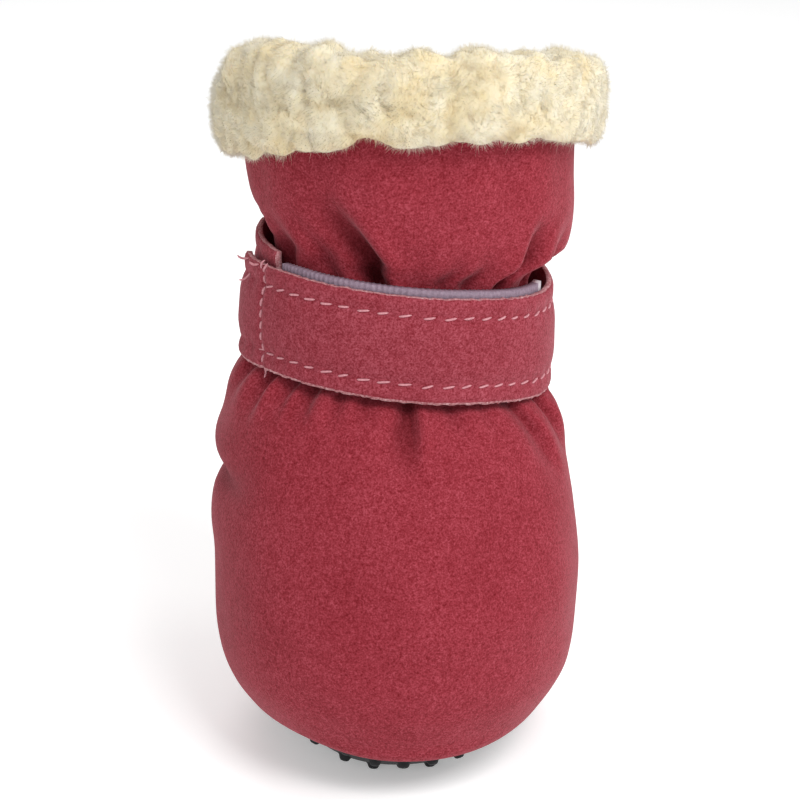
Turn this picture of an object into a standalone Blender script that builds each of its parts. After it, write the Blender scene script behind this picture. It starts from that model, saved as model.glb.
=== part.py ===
"""A fleece-lined winter boot for a small dog, standing empty on its sole with the toe towards -Y.

Metres, +Z up. The origin is on the floor, on the middle stud of the sole.
An azimuth runs round the boot in degrees: 0 at the toe, 90 at +X, 180 at the heel, -90 at -X.
"""

import math
from collections import namedtuple

import bmesh
import bpy
from mathutils import Matrix, Vector

MM = 0.001

# Sole
SOLE_LENGTH = 51 * MM
SOLE_WIDTH = 38 * MM
SOLE_THICKNESS = 1.8 * MM
TOE_RISE = 6.7 * MM  # how far the sole's rim curls up at the toe
SIDE_RISE = 5.6 * MM  # and at the sides and heel
CORNER_RISE = 1.2 * MM  # how much further it curls up at the toe's corner on the -X side
CORNER_AZIMUTH = -42
CORNER_TURN = 28
STUD_PITCH = 4.2 * MM
STUD_HEIGHT = 0.9 * MM
STUD_FOOT_RADIUS = 1.05 * MM
STUD_TIP_RADIUS = 0.55 * MM
STUD_ROOT = 0.6 * MM  # how deep a stud is moulded into the sole
INSOLE_THICKNESS = 2.6 * MM
INSOLE_RIM = 0.6 * MM  # the footbed's thickness at its rim

# Upper
FOOT_WIDTH = 54.6 * MM
FOOT_LENGTH = 59.0 * MM
FOOT_HEIGHT = 58.8 * MM  # floor to the strap's lower edge
SHAFT_HEIGHT = 26.6 * MM  # strap's upper edge to the upper's top edge
WALL = 2.2 * MM
GATHER_DEPTH = 0.5 * MM  # ripples that the elastic pulls into the ankle
GATHER_COUNT = 13
GATHER_TURN = 0.8  # where the first ripple stands, in radians
GATHER_FADE = 9.0 * MM  # how far above and below the strap the ripples run out
ANKLE_TILT = -0.12  # rise of the strap and ankle towards +X, per unit
COLLAR_TILT = 0.02  # the same at the top edge
COLLAR_LEAN = 0.33  # rise of the top edge towards the toe, per unit: the shaft leans back

# Slit at the back of the shaft, its two flaps lapped
SLIT_BELOW_STRAP = 6.0 * MM
LAP = 13.0 * MM
SLIT_V_HEIGHT = 4.2 * MM  # the slit starts as a small V this tall
SLIT_V_ANGLE = 1.2  # half the V's opening, in degrees
LAP_CLIMB = 8.0 * MM  # from the V up to where the flaps lap fully
STEP_CLIMB = 4.0 * MM  # from the slit's start up to where the flaps have stepped apart
STEP_START = 110  # a flap starts to step apart at this turn from the toe, in degrees
STEP_TURN = 48  # and has done so this many degrees further
SPREAD_SHARE = 0.42  # share of the shaft over which the ankle's spread grows to the collar's
ANKLE_SPREAD = 1.4 * MM  # each flap's step out of the common outline, at the ankle
COLLAR_SPREAD = 3.6 * MM  # and at the collar, where the fleece lies between the flaps

# Fleece cuff
CUFF_HEIGHT = 10.0 * MM  # how far it hangs down outside the top edge
CUFF_INSIDE = 13.0 * MM  # how far it reaches down inside
CUFF_CROWN = 2.2 * MM  # how far it stands over the top edge
CROWN_BULGE = 1.4  # and this share more where it bulges, on the -X side
BULGE_AZIMUTH = -62
BULGE_TURN = 40
PILE = 3.0 * MM
CURL_DEPTH = 0.6 * MM
CUFF_END = 2.6 * MM  # how far the fleece rounds off past a flap's end
CUFF_HEM = 1.2 * MM  # height of the fleece's outer hem
INNER_HEM = 1.0 * MM  # and of its inner one
CURL_COUNT = 17
CURL_STEP = 2.1  # how a curl moves on from one point of the cuff's section to the next, in radians
CURL_DRIFT = (1.7, 0.11)  # how the curls' depth changes by section point and by degree
PRESS_START = 155  # the fleece flattens from here to where the flaps lap, in degrees
PRESS_TURN = 18

# Strap and its hook tape
STRAP_WIDTH = 15.5 * MM
STRAP_THICKNESS = 1.1 * MM
LOOP_SLACK = 1.2 * MM  # how far the strap bows off the ankle where it turns to the back
TAPE_THICKNESS = 1.2 * MM
TAPE_WIDTH = 14.3 * MM
TAPE_PROUD = 0.8 * MM  # the tape's upper edge shows over the strap's
ROOT_STANDOFF = 0.3 * MM  # the ankle swells this much towards the strap's two edges
TAB_LIFT = 0.2 * MM  # how far the strap's free end stands off
STRAP_CLIMB = 1.6 * MM  # the strap's sewn end sits this much higher than its free end
STRAP_ROOT_AZIMUTH = 299  # the strap starts under its own free end, and runs once round by the back
STRAP_TIP_AZIMUTH = -86
TAPE_ROOT_AZIMUTH = 70
TAPE_TIP_AZIMUTH = -56
LIFT_LEAD = 30  # the strap has left the ankle for the tape this many degrees before the tape starts
LIFT_TURN = 26
SLACK_LEAD = 20  # the strap bows off most this many degrees before the tape
SLACK_TURN = 30
TAB_AZIMUTH = -62  # where the free end starts to stand off
TAB_TURN = 24
CLIMB_START = 90  # the strap climbs from here
CLIMB_TURN = 180

GAP = 0.3 * MM  # between pieces that touch
LEAN_SLACK = 0.12 * MM  # a leaning wall is this much thicker, cut level

COLUMNS = 64
SOLE_COLUMNS = 40
SOLE_RINGS = (0.3, 0.62, 0.75, 0.87, 1.0)
CUFF_COLUMNS = 52
STRAP_COLUMNS = 68
TAPE_COLUMNS = 30

FLAT_SHARE = 0.68  # of the sole's radius, flat on the floor
CURL_POWER = 1.3  # of the sole's rise from its flat to its rim
TOE_COSINE = -0.2  # the toe's rise starts to tell from this cosine of the azimuth
SOLE_SQUARENESS = 2.2
SQUARENESS = 2.15
FOREFOOT_SPREAD = 0.03  # the sole is this much wider at the toe than at the heel
STUD_LIMIT = 0.93  # share of the sole's radius that carries studs
INSOLE_SHARE = 0.94  # share of the sole's radius that the footbed covers
SLOPE_STEP = 0.02  # share of the sole's radius over which its slope is read
SHAFT_SLOPES_FROM = 0.3  # share of the shaft from which the collar's tilt takes over from the ankle's
FOLD_UNDER = 0.4  # share of a fold's reach that runs on under the strap
SMOOTH_ANGLE = 40

# The upper's sections. The zone says what the height is a share of: the foot from the sole's rim to
# the strap, the ankle behind the strap, or the shaft from the strap to the top edge. half_width and
# side, the section's shift towards +X, are shares of FOOT_WIDTH. front and back, the reach from the
# middle of the sole, are shares of FOOT_LENGTH. tilt and lean are shares of the tilts and of the lean above.
Section = namedtuple("Section", "zone height half_width front back side tilt lean")
SECTIONS = (
    Section("foot", 0.045, 0.430, 0.482, 0.477, 0.000, 0.0, 0.0),
    Section("foot", 0.100, 0.462, 0.500, 0.486, 0.000, 0.0, 0.0),
    Section("foot", 0.165, 0.484, 0.519, 0.488, 0.000, 0.0, 0.0),
    Section("foot", 0.270, 0.497, 0.532, 0.485, 0.000, 0.0, 0.0),
    Section("foot", 0.385, 0.500, 0.531, 0.476, 0.002, 0.1, 0.0),
    Section("foot", 0.500, 0.497, 0.508, 0.462, 0.006, 0.2, 0.0),
    Section("foot", 0.615, 0.489, 0.468, 0.448, 0.006, 0.4, 0.0),
    Section("foot", 0.730, 0.475, 0.418, 0.435, 0.004, 0.6, 0.0),
    Section("foot", 0.835, 0.455, 0.367, 0.425, 0.004, 0.8, 0.0),
    Section("foot", 0.905, 0.434, 0.326, 0.413, 0.004, 0.9, 0.0),
    Section("foot", 0.955, 0.402, 0.292, 0.398, 0.004, 1.0, 0.0),
    Section("foot", 0.985, 0.367, 0.258, 0.375, 0.006, 1.0, 0.0),
    Section("ankle", 0.05, 0.340, 0.232, 0.364, 0.014, 1.0, 0.0),
    Section("ankle", 0.50, 0.334, 0.222, 0.358, 0.020, 1.0, 0.0),
    Section("ankle", 0.92, 0.342, 0.224, 0.361, 0.024, 1.0, 0.0),
    Section("shaft", 0.04, 0.356, 0.226, 0.366, 0.034, 0.9, 0.0),
    Section("shaft", 0.12, 0.397, 0.242, 0.386, 0.068, 0.6, 0.1),
    Section("shaft", 0.23, 0.416, 0.256, 0.406, 0.066, 0.2, 0.3),
    Section("shaft", 0.42, 0.431, 0.264, 0.434, 0.055, 0.4, 0.6),
    Section("shaft", 0.62, 0.437, 0.260, 0.458, 0.051, 0.8, 0.8),
    Section("shaft", 0.82, 0.437, 0.250, 0.476, 0.049, 1.0, 1.0),
    Section("shaft", 1.00, 0.436, 0.241, 0.492, 0.048, 1.0, 1.0),
)
Ring = namedtuple("Ring", "zone share half_width front back side tilt lean")

# Folds that the fastened strap pulls into the upper. Each one starts at the strap's edge, at an
# azimuth in degrees, and fades out over its reach, a share of the zone's height, while it turns by
# its slant. spread is half its width in degrees. depth is a share of WALL, and a ridge's is negative.
Fold = namedtuple("Fold", "zone azimuth slant spread reach depth")
FOLDS = (
    Fold("shaft", -19, -34, 9, 0.46, 0.80),
    Fold("shaft", -4, -6, 8, 0.40, -0.35),
    Fold("shaft", 47, 9, 8, 0.38, 0.65),
    Fold("shaft", 96, 12, 11, 0.42, 0.60),
    Fold("shaft", -94, -10, 11, 0.42, 0.60),
    Fold("shaft", 138, 6, 10, 0.36, 0.45),
    Fold("foot", 8, -3, 8, 0.17, 0.55),
    Fold("foot", -37, -6, 9, 0.13, 0.45),
    Fold("foot", 63, 14, 8, 0.34, 0.50),
    Fold("foot", -82, -4, 9, 0.28, 0.50),
    Fold("foot", 104, 6, 10, 0.26, 0.50),
    Fold("foot", 146, 4, 9, 0.20, 0.40),
    Fold("foot", -132, -6, 9, 0.22, 0.45),
)

# The fleece cuff's section, from its inner hem over the crown to its outer hem. A point lies out of
# the upper's wall, on the face named, by a share of that side's pile. Its height over the upper's top
# edge is a share of how far the cuff reaches down inside, of its crown, or of its reach down outside.
CuffPoint = namedtuple("CuffPoint", "face pile span over")
CUFF_SECTION = (
    CuffPoint("in", 0.45, "inside", -1.00),
    CuffPoint("in", 0.90, "inside", -0.80),
    CuffPoint("in", 1.00, "inside", -0.40),
    CuffPoint("in", 0.95, "crown", 0.10),
    CuffPoint("in", 0.62, "crown", 0.68),
    CuffPoint("in", -0.43, "crown", 1.00),
    CuffPoint("out", 0.50, "crown", 0.80),
    CuffPoint("out", 0.90, "crown", 0.25),
    CuffPoint("out", 1.00, "outside", -0.30),
    CuffPoint("out", 0.95, "outside", -0.70),
    CuffPoint("out", 0.55, "outside", -1.00),
)

STUD_SIDES = 5
WALL_LOOP = ((0, "out"), (1, "out"), (1, "in"), (0, "in"))  # round an edge of the upper's wall

CRIMSON_SUEDE = ((0.42, 0.055, 0.085), 0.9)
CREAM_FLEECE = ((0.86, 0.76, 0.56), 0.95)
BLACK_RUBBER = ((0.018, 0.02, 0.022), 0.55)
MAUVE_TAPE = ((0.36, 0.27, 0.36), 0.7)


def blend(low, high, share):
    return low + (high - low) * share


def ease(share):
    """A smooth step from 0 to 1."""
    share = min(1.0, max(0.0, share))
    return share * share * (3 - 2 * share)


def rounded(value, squareness):
    """A sine or cosine pushed towards a square outline."""
    return math.copysign(abs(value) ** (2 / squareness), value)


def turn_from(start, azimuth):
    """The turn from one azimuth to another, from -180 to 180 degrees."""
    return (azimuth - start + 180) % 360 - 180


def sole_outline(azimuth, share=1.0):
    """A point of the sole's plan, at this share of the way from its middle to its rim."""
    angle = math.radians(azimuth)
    width = SOLE_WIDTH * (1 + FOREFOOT_SPREAD * math.cos(angle))
    x = width / 2 * rounded(math.sin(angle), SOLE_SQUARENESS)
    y = -SOLE_LENGTH / 2 * rounded(math.cos(angle), SOLE_SQUARENESS)
    return share * x, share * y


def sole_rise(azimuth, share):
    """How far the sole's underside has curled up off its flat."""
    toward_toe = ease((math.cos(math.radians(azimuth)) - TOE_COSINE) / (1 - TOE_COSINE))
    corner = CORNER_RISE * math.exp(-((turn_from(CORNER_AZIMUTH, azimuth) / CORNER_TURN) ** 2))
    curl = max(0.0, (share - FLAT_SHARE) / (1 - FLAT_SHARE))
    return (blend(SIDE_RISE, TOE_RISE, toward_toe) + corner) * curl**CURL_POWER


def sole_height(azimuth, share, over):
    """Height of the surface that lies this far over the sole's underside."""
    return STUD_HEIGHT + sole_rise(azimuth, share) + over


def rim_height(azimuth):
    """Height of the upper's lower edge, which wraps the sole's rim and ends level with its underside."""
    return sole_height(azimuth, 1.0, 0)


def rim_point(azimuth, outwards):
    """A point of the upper's lower edge, that far out of the sole's rim."""
    x, y = sole_outline(azimuth)
    out = Vector((x / SOLE_WIDTH**2, y / SOLE_LENGTH**2)).normalized() * outwards
    return Vector((x + out.x, y + out.y, rim_height(azimuth)))


def ring_at(section):
    return Ring(section.zone, section.height, *section[2:])


def zone_height(ring, azimuth):
    """Height of a ring's plane over the floor, before its tilt."""
    if ring.zone == "foot":
        return blend(rim_height(azimuth), FOOT_HEIGHT, ring.share)
    if ring.zone == "ankle":
        return FOOT_HEIGHT + ring.share * STRAP_WIDTH
    return FOOT_HEIGHT + STRAP_WIDTH + ring.share * SHAFT_HEIGHT


def slopes_of(ring):
    """How steeply the ring's plane rises towards +X and towards the toe."""
    above_ankle = ring.zone == "shaft" and ring.share > SHAFT_SLOPES_FROM
    return ring.tilt * (COLLAR_TILT if above_ankle else ANKLE_TILT), ring.lean * COLLAR_LEAN


def slit_height():
    """Height at which the slit starts, over the floor."""
    return FOOT_HEIGHT - SLIT_BELOW_STRAP


def lap_angle(height):
    """How far each flap runs past the middle of the back, in degrees. It is below 0 in the slit's small V."""
    full = math.degrees(LAP / 2 / (FOOT_LENGTH * SECTIONS[-1].back))
    over = height - slit_height()
    if over <= 0:
        return 0.0
    return blend(-SLIT_V_ANGLE, full, ease((over - SLIT_V_HEIGHT) / LAP_CLIMB))


def near_back(turn):
    """From 0 at the sides to 1 where the flaps lap. turn is the azimuth's distance from the toe's."""
    return ease((turn - STEP_START) / STEP_TURN)


def flap_step(azimuth, height):
    """The step of a flap out of the common outline: outwards past -180, inwards past 180."""
    over = height - slit_height()
    if over <= 0:
        return 0.0
    collar = (height - FOOT_HEIGHT - STRAP_WIDTH) / SHAFT_HEIGHT
    spread = blend(ANKLE_SPREAD, COLLAR_SPREAD, ease(collar / SPREAD_SHARE))
    return -math.copysign(spread, azimuth) * near_back(abs(azimuth)) * ease(over / STEP_CLIMB)


def gather(azimuth, height):
    """The ripples at the ankle, fading out above and below the strap."""
    middle = FOOT_HEIGHT + STRAP_WIDTH / 2
    fade = 1 - ease((abs(height - middle) - STRAP_WIDTH / 2) / GATHER_FADE)
    wave = math.sin(math.radians(azimuth) * GATHER_COUNT + GATHER_TURN)
    return GATHER_DEPTH * wave * fade


def folds(azimuth, height):
    """How far the strap's folds press the surface in."""
    total = 0.0
    for fold in FOLDS:
        shaft = fold.zone == "shaft"
        away = height - FOOT_HEIGHT - STRAP_WIDTH if shaft else FOOT_HEIGHT - height
        reach = fold.reach * (SHAFT_HEIGHT if shaft else FOOT_HEIGHT)
        along = away / reach
        if not -FOLD_UNDER < along < 1:
            continue
        fade = ease(1 - along) if along > 0 else ease(1 + along / FOLD_UNDER)
        turn = turn_from(fold.azimuth + fold.slant * along, azimuth)
        total += fold.depth * WALL * fade * math.exp(-((turn / fold.spread) ** 2))
    return total


def plan(ring, azimuth, outwards=0.0):
    """A point of a ring in plan, that far out of it."""
    angle = math.radians(azimuth)
    half_length = FOOT_LENGTH * (ring.front + ring.back) / 2
    half_width = FOOT_WIDTH * ring.half_width
    point = Vector(
        (
            half_width * rounded(math.sin(angle), SQUARENESS),
            -half_length * rounded(math.cos(angle), SQUARENESS),
        )
    )
    out = Vector((point.x / half_width**2, point.y / half_length**2)).normalized()
    middle = Vector((FOOT_WIDTH * ring.side, FOOT_LENGTH * (ring.back - ring.front) / 2))
    return middle + point + out * outwards


def outer_point(ring, azimuth, outwards=0.0):
    """A point of the upper's outer surface, or of a surface further out."""
    height = zone_height(ring, azimuth)
    step = flap_step(azimuth, height) + gather(azimuth, height) - folds(azimuth, height)
    point = plan(ring, azimuth, step + outwards)
    return on_slope(point, height, slopes_of(ring))


def on_slope(point, height, slopes):
    return Vector((point.x, point.y, height + slopes[0] * point.x - slopes[1] * point.y))


def surface_normal(ring, azimuth, below, above):
    """The outward normal, from the neighbouring rings and azimuths."""
    along = outer_point(ring, azimuth + 1) - outer_point(ring, azimuth - 1)
    up = outer_point(above, azimuth) - outer_point(below, azimuth)
    return along.cross(up).normalized()


def shaft_ring(height):
    """The upper's ring at a height over the floor, between two sections of the ankle or shaft."""
    rings = [ring_at(s) for s in SECTIONS if s.zone != "foot"]
    heights = [zone_height(r, 0) for r in rings]
    upper = next(i for i in range(1, len(rings)) if height <= heights[i] or i == len(rings) - 1)
    share = max(0.0, (height - heights[upper - 1]) / (heights[upper] - heights[upper - 1]))
    low, high = rings[upper - 1], rings[upper]
    sizes = [blend(a, b, share) for a, b in zip(low[2:6], high[2:6])]
    slopes = [blend(a, b, share) for a, b in zip(slopes_of(low), slopes_of(high))]
    return Ring("shaft", 0, *sizes, 0, 0), slopes


def wrapped_point(azimuth, height, outwards, step=0.0):
    """A point this far out of the ankle or shaft, at a height, for what is wrapped round it."""
    ring, slopes = shaft_ring(height)
    return on_slope(plan(ring, azimuth, outwards + step), height, slopes)


def material(name, look):
    made = bpy.data.materials.new(name)
    made.use_nodes = True
    shader = made.node_tree.nodes["Principled BSDF"]
    colour, roughness = look
    shader.inputs["Base Color"].default_value = (*colour, 1)
    shader.inputs["Roughness"].default_value = roughness
    shader.inputs["Metallic"].default_value = 0
    return made


def add_object(name, mesh_data, look):
    """Makes a node from (points, faces), with its faces pointing out."""
    points, faces = mesh_data
    mesh = bpy.data.meshes.new(name)
    work = bmesh.new()
    verts = [work.verts.new(p) for p in points]
    for face in faces:
        work.faces.new([verts[i] for i in face])
    bmesh.ops.recalc_face_normals(work, faces=work.faces)
    work.to_mesh(mesh)
    work.free()
    mesh.shade_smooth()
    mesh.set_sharp_from_angle(angle=math.radians(SMOOTH_ANGLE))
    node = bpy.data.objects.new(name, mesh)
    bpy.context.scene.collection.objects.link(node)
    mesh.materials.append(material(name, look))
    return node


def strip(count_along, loop, capped):
    """Faces of a tube whose points are numbered ring by ring, each ring a closed loop of this many points."""
    faces = []
    for i in range(count_along - 1):
        for k in range(loop):
            after = (k + 1) % loop
            faces.append((i * loop + k, i * loop + after, (i + 1) * loop + after, (i + 1) * loop + k))
    if capped:
        last = (count_along - 1) * loop
        faces.append(tuple(reversed(range(loop))))
        faces.append(tuple(range(last, last + loop)))
    return faces


def lens(rings, columns, lower, upper):
    """A closed pad from two surfaces, lower and upper, each a function of azimuth and share."""
    points, faces = [], []
    for surface in (lower, upper):
        points.append(surface(0, 0))
        points += [surface(360 * i / columns, share) for share in rings for i in range(columns)]
    side = 1 + len(rings) * columns
    for start in (0, side):
        for i in range(columns):
            after = (i + 1) % columns
            faces.append((start, start + 1 + i, start + 1 + after))
            for k in range(len(rings) - 1):
                near, far = start + 1 + k * columns, start + 1 + (k + 1) * columns
                faces.append((near + i, far + i, far + after, near + after))
    rim = 1 + (len(rings) - 1) * columns
    for i in range(columns):
        after = (i + 1) % columns
        faces.append((rim + i, rim + after, side + rim + after, side + rim + i))
    return points, faces


def sole_point(azimuth, share, over):
    x, y = sole_outline(azimuth, share)
    return Vector((x, y, sole_height(azimuth, share, over)))


def outsole_blank():
    """The sole before its studs: a thin sheet whose rim curls up."""
    return lens(
        SOLE_RINGS,
        SOLE_COLUMNS,
        lambda azimuth, share: sole_point(azimuth, share, 0),
        lambda azimuth, share: sole_point(azimuth, share, SOLE_THICKNESS),
    )


def stud_places():
    """Azimuth and share of each stud: a square grid, with one stud in the middle of the sole."""
    places = []
    rows = math.ceil(SOLE_LENGTH / STUD_PITCH / 2)
    for row in range(-rows, rows + 1):
        for column in range(-rows, rows + 1):
            x, y = column * STUD_PITCH, row * STUD_PITCH
            azimuth, share = sole_share(x, y)
            if share < STUD_LIMIT:
                places.append((x, y, azimuth, share))
    return places


def sole_share(x, y):
    """The azimuth and share of the sole at a place in plan."""
    power = SOLE_SQUARENESS / 2
    across = math.copysign((2 * abs(x) / SOLE_WIDTH) ** power, x)
    along = math.copysign((2 * abs(y) / SOLE_LENGTH) ** power, -y)
    share = math.hypot(across, along) ** (1 / power)
    return math.degrees(math.atan2(across, along)), share


def stud_mesh(x, y, azimuth, share):
    """One stud, square to the underside where it stands."""
    here = sole_height(azimuth, share, 0)
    outward = Vector((x, y)).normalized() if share > 0 else Vector((0, 0))
    run = SLOPE_STEP * Vector(sole_outline(azimuth)).length
    slope = (sole_height(azimuth, share + SLOPE_STEP, 0) - here) / run
    down = Vector((outward.x * slope, outward.y * slope, -1)).normalized()
    turn = Vector((0, 0, -1)).rotation_difference(down).to_matrix().to_4x4()
    place = Matrix.Translation((x, y, here)) @ turn
    points = []
    for depth, radius in ((STUD_ROOT, STUD_FOOT_RADIUS), (-STUD_HEIGHT, STUD_TIP_RADIUS)):
        for k in range(STUD_SIDES):
            angle = 2 * math.pi * k / STUD_SIDES
            points.append(place @ Vector((radius * math.cos(angle), radius * math.sin(angle), depth)))
    return points, strip(2, STUD_SIDES, capped=True)


def add_outsole():
    """Dotted rubber sole: the studs are joined to the sheet by a union."""
    sole = add_object("outsole", outsole_blank(), BLACK_RUBBER)
    points, faces = [], []
    for place in stud_places():
        stud_points, stud_faces = stud_mesh(*place)
        faces += [tuple(i + len(points) for i in face) for face in stud_faces]
        points += stud_points
    studs = add_object("stud_cutter", (points, faces), BLACK_RUBBER)
    studs.hide_render = True
    studs.display_type = "WIRE"
    union = sole.modifiers.new("studs", "BOOLEAN")
    union.operation = "UNION"
    union.object = studs


def add_insole():
    """Fleece footbed that lies on the sole, almost to its rim."""

    def lower(azimuth, share):
        return sole_point(azimuth, share, SOLE_THICKNESS + GAP)

    def upper(azimuth, share):
        point = lower(azimuth, share)
        point.z = max(point.z + INSOLE_RIM, sole_height(0, 0, SOLE_THICKNESS + GAP) + INSOLE_THICKNESS)
        return point

    rings = (*SOLE_RINGS[:-1], INSOLE_SHARE)
    add_object("insole", lens(rings, SOLE_COLUMNS, lower, upper), CREAM_FLEECE)


def upper_rings():
    """The upper's rings from the first section up, with one more where the slit starts."""
    rings = [ring_at(s) for s in SECTIONS]
    share = (slit_height() - rim_height(180)) / (FOOT_HEIGHT - rim_height(180))
    above = next(i for i, r in enumerate(rings) if r.zone != "foot" or r.share > share)
    low, high = rings[above - 1], rings[above]
    part = (share - low.share) / (high.share - low.share) if high.zone == "foot" else 1.0
    sizes = [blend(a, b, part) for a, b in zip(low[2:], high[2:])]
    return rings[:above] + [Ring("foot", share, *sizes)] + rings[above:], above


def add_upper():
    """One hollow wall from the sole's rim to the top edge, slit at the back from below the strap."""
    rings, slit_row = upper_rings()
    points, index = [], {}

    def add(key, point):
        index[key] = len(points)
        points.append(point)

    for i in range(COLUMNS):
        azimuth = -180 + 360 * i / COLUMNS
        add((0, i, "out"), rim_point(azimuth, GAP + WALL))
        add((0, i, "in"), rim_point(azimuth, GAP))
    for row, ring in enumerate(rings, start=1):
        below = rings[max(0, row - 2)]
        above = rings[min(len(rings) - 1, row)]
        top = row == len(rings)
        slit = row - 1 > slit_row
        lap = lap_angle(zone_height(ring, 180)) if slit else 0.0
        for i in range(COLUMNS + slit):
            azimuth = blend(-180 - lap, 180 + lap, i / COLUMNS)
            point = outer_point(ring, azimuth)
            normal = surface_normal(ring, azimuth, below, above)
            inner = point - normal * WALL
            if top:
                level = Vector((normal.x, normal.y)).normalized()
                plan = Vector((point.x, point.y)) - level * WALL
                inner = on_slope(plan, zone_height(ring, 0), slopes_of(ring))
            add((row, i, "out"), point)
            add((row, i, "in"), inner)
    last = len(rings)

    def corner(row, i, side):
        closed = row - 1 <= slit_row
        return index[(row, i % COLUMNS if closed else i, side)]

    faces = []
    for row in range(last):
        for i in range(COLUMNS):
            for side in ("out", "in"):
                faces.append([corner(row + r, i + c, side) for r, c in ((0, 0), (0, 1), (1, 1), (1, 0))])
    for i in range(COLUMNS):
        for row in (0, last):
            faces.append([corner(row, i + step, side) for step, side in WALL_LOOP])
    for row in range(slit_row + 1, last):
        for i in (0, COLUMNS):
            faces.append([corner(row + step, i, side) for step, side in WALL_LOOP])
    add_object("upper", (points, faces), CRIMSON_SUEDE)


def cuff_profile(azimuth, outer_pile, inner_pile, slot=1.0):
    """The cuff's section as (out, over): out from the upper's outer surface, over its top edge.
    slot is 0 past a flap's end, where there is no wall in the fleece."""
    bulge = math.exp(-((turn_from(BULGE_AZIMUTH, azimuth) / BULGE_TURN) ** 2))
    crown = CUFF_CROWN * (1 + CROWN_BULGE * bulge)
    out_face, in_face = GAP, -WALL - LEAN_SLACK - GAP
    slot_top = blend(CUFF_HEM - CUFF_HEIGHT, GAP, slot)
    if slot < 1:
        slot_top += GAP
    profile = [
        (out_face, CUFF_HEM - CUFF_HEIGHT),
        (out_face, slot_top),
        (in_face, slot_top),
        (in_face, INNER_HEM - CUFF_INSIDE),
    ]
    for face, pile, span, over in CUFF_SECTION:
        base, depth = (out_face, outer_pile) if face == "out" else (in_face, -inner_pile)
        length = {"inside": CUFF_INSIDE, "crown": crown, "outside": CUFF_HEIGHT}[span]
        profile.append((base + depth * pile, length * over))
    return profile


def lapped_pile():
    """The pile left to each flap where the two flaps' fleece meets."""
    return COLLAR_SPREAD - (WALL + LEAN_SLACK) / 2 - 1.5 * GAP


def cuff_stations(lap):
    """(azimuth, slot, size) along the cuff: round the upper, then closed and rounded past both ends."""
    radius = FOOT_LENGTH * SECTIONS[-1].back
    clear = math.degrees(GAP / radius)
    end = math.degrees(CUFF_END / radius)
    half = 180 + lap
    shares = [i / CUFF_COLUMNS for i in range(CUFF_COLUMNS + 1)]
    round_upper = [(blend(-half - clear, half + clear, share), 1.0, 1.0) for share in shares]
    past = [(half + clear * 1.5, 0.0, 1.0), (half + end * 0.6, 0.0, 0.86), (half + end, 0.0, 0.5)]
    before = [(-azimuth, slot, size) for azimuth, slot, size in reversed(past)]
    return before + round_upper + past


def add_cuff():
    """Fleece turned out over the top edge, an open ring whose ends lap with the flaps."""
    top = FOOT_HEIGHT + STRAP_WIDTH + SHAFT_HEIGHT
    lap = lap_angle(top)
    stations = cuff_stations(lap)
    points = []
    for azimuth, slot, size in stations:
        pressed = ease((abs(azimuth) - (PRESS_START - lap)) / PRESS_TURN)
        outer_pile = blend(PILE, lapped_pile(), pressed if azimuth > 0 else 0)
        inner_pile = blend(PILE, lapped_pile(), pressed if azimuth < 0 else 0)
        profile = cuff_profile(azimuth, outer_pile, inner_pile, slot)
        middle_out = sum(out for out, _ in profile) / len(profile)
        middle_over = sum(over for _, over in profile) / len(profile)
        for k, (out, over) in enumerate(profile):
            out = blend(middle_out, out, size)
            over = blend(middle_over, over, size)
            curl = math.sin(math.radians(azimuth) * CURL_COUNT + k * CURL_STEP)
            curl *= math.sin(k * CURL_DRIFT[0] + azimuth * CURL_DRIFT[1])
            height = top + min(over, 0)
            lumps = CURL_DEPTH * curl * (1 - pressed) if k > 4 else 0
            outwards = out + math.copysign(lumps, out + WALL / 2)
            point = wrapped_point(azimuth, height, outwards, flap_step(azimuth, height))
            point.z += max(over, 0) + (lumps if over > 0 else 0)
            points.append(point)
    loop = len(cuff_profile(0, PILE, PILE))
    add_object("fleece_cuff", (points, strip(len(stations), loop, capped=True)), CREAM_FLEECE)


def band_point(azimuth, height, out):
    """A point on the straight line from the strap's lower edge to its upper edge, or on past it."""
    low = strap_low(azimuth)
    bottom = wrapped_point(azimuth, low, out)
    top = wrapped_point(azimuth, low + STRAP_WIDTH, out)
    return bottom.lerp(top, (height - low) / STRAP_WIDTH)


def band(azimuths, columns, standoff, thickness, width, low):
    """A band round the ankle. standoff gives how far its inner face stands out of the ankle at an
    azimuth, and low the height of its lower edge there."""
    points = []
    for i in range(columns + 1):
        azimuth = blend(*azimuths, i / columns)
        for out, edge in ((0, 0), (0, 1), (thickness, 1), (thickness, 0)):
            height = low(azimuth) + edge * width
            points.append(band_point(azimuth, height, standoff(azimuth) + out))
    return points, strip(columns + 1, 4, capped=True)


def ground(azimuth):
    """How far out a band has to lie to clear the gathered ankle and its outer flap."""
    flap = ANKLE_SPREAD * near_back(min(abs(azimuth), abs(360 - azimuth)))
    return GATHER_DEPTH + GAP + ROOT_STANDOFF + flap


def strap_standoff(azimuth):
    """The strap lies on the ankle behind, and on the tape and its own sewn end in front."""
    front = ease((TAPE_ROOT_AZIMUTH + LIFT_LEAD - azimuth) / LIFT_TURN)
    bow = (azimuth - TAPE_ROOT_AZIMUTH - SLACK_LEAD) / SLACK_TURN
    slack = LOOP_SLACK * math.exp(-(bow**2)) * (1 - front)
    lift = TAB_LIFT * ease((TAB_AZIMUTH - azimuth) / TAB_TURN)
    on_tape = ground(azimuth) + max(TAPE_THICKNESS, STRAP_THICKNESS) + GAP
    return blend(ground(azimuth), on_tape, front) + slack + lift


def strap_low(azimuth):
    """Height of the strap's lower edge. The strap climbs towards its sewn end."""
    return FOOT_HEIGHT + STRAP_CLIMB * ease((azimuth - CLIMB_START) / CLIMB_TURN)


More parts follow.
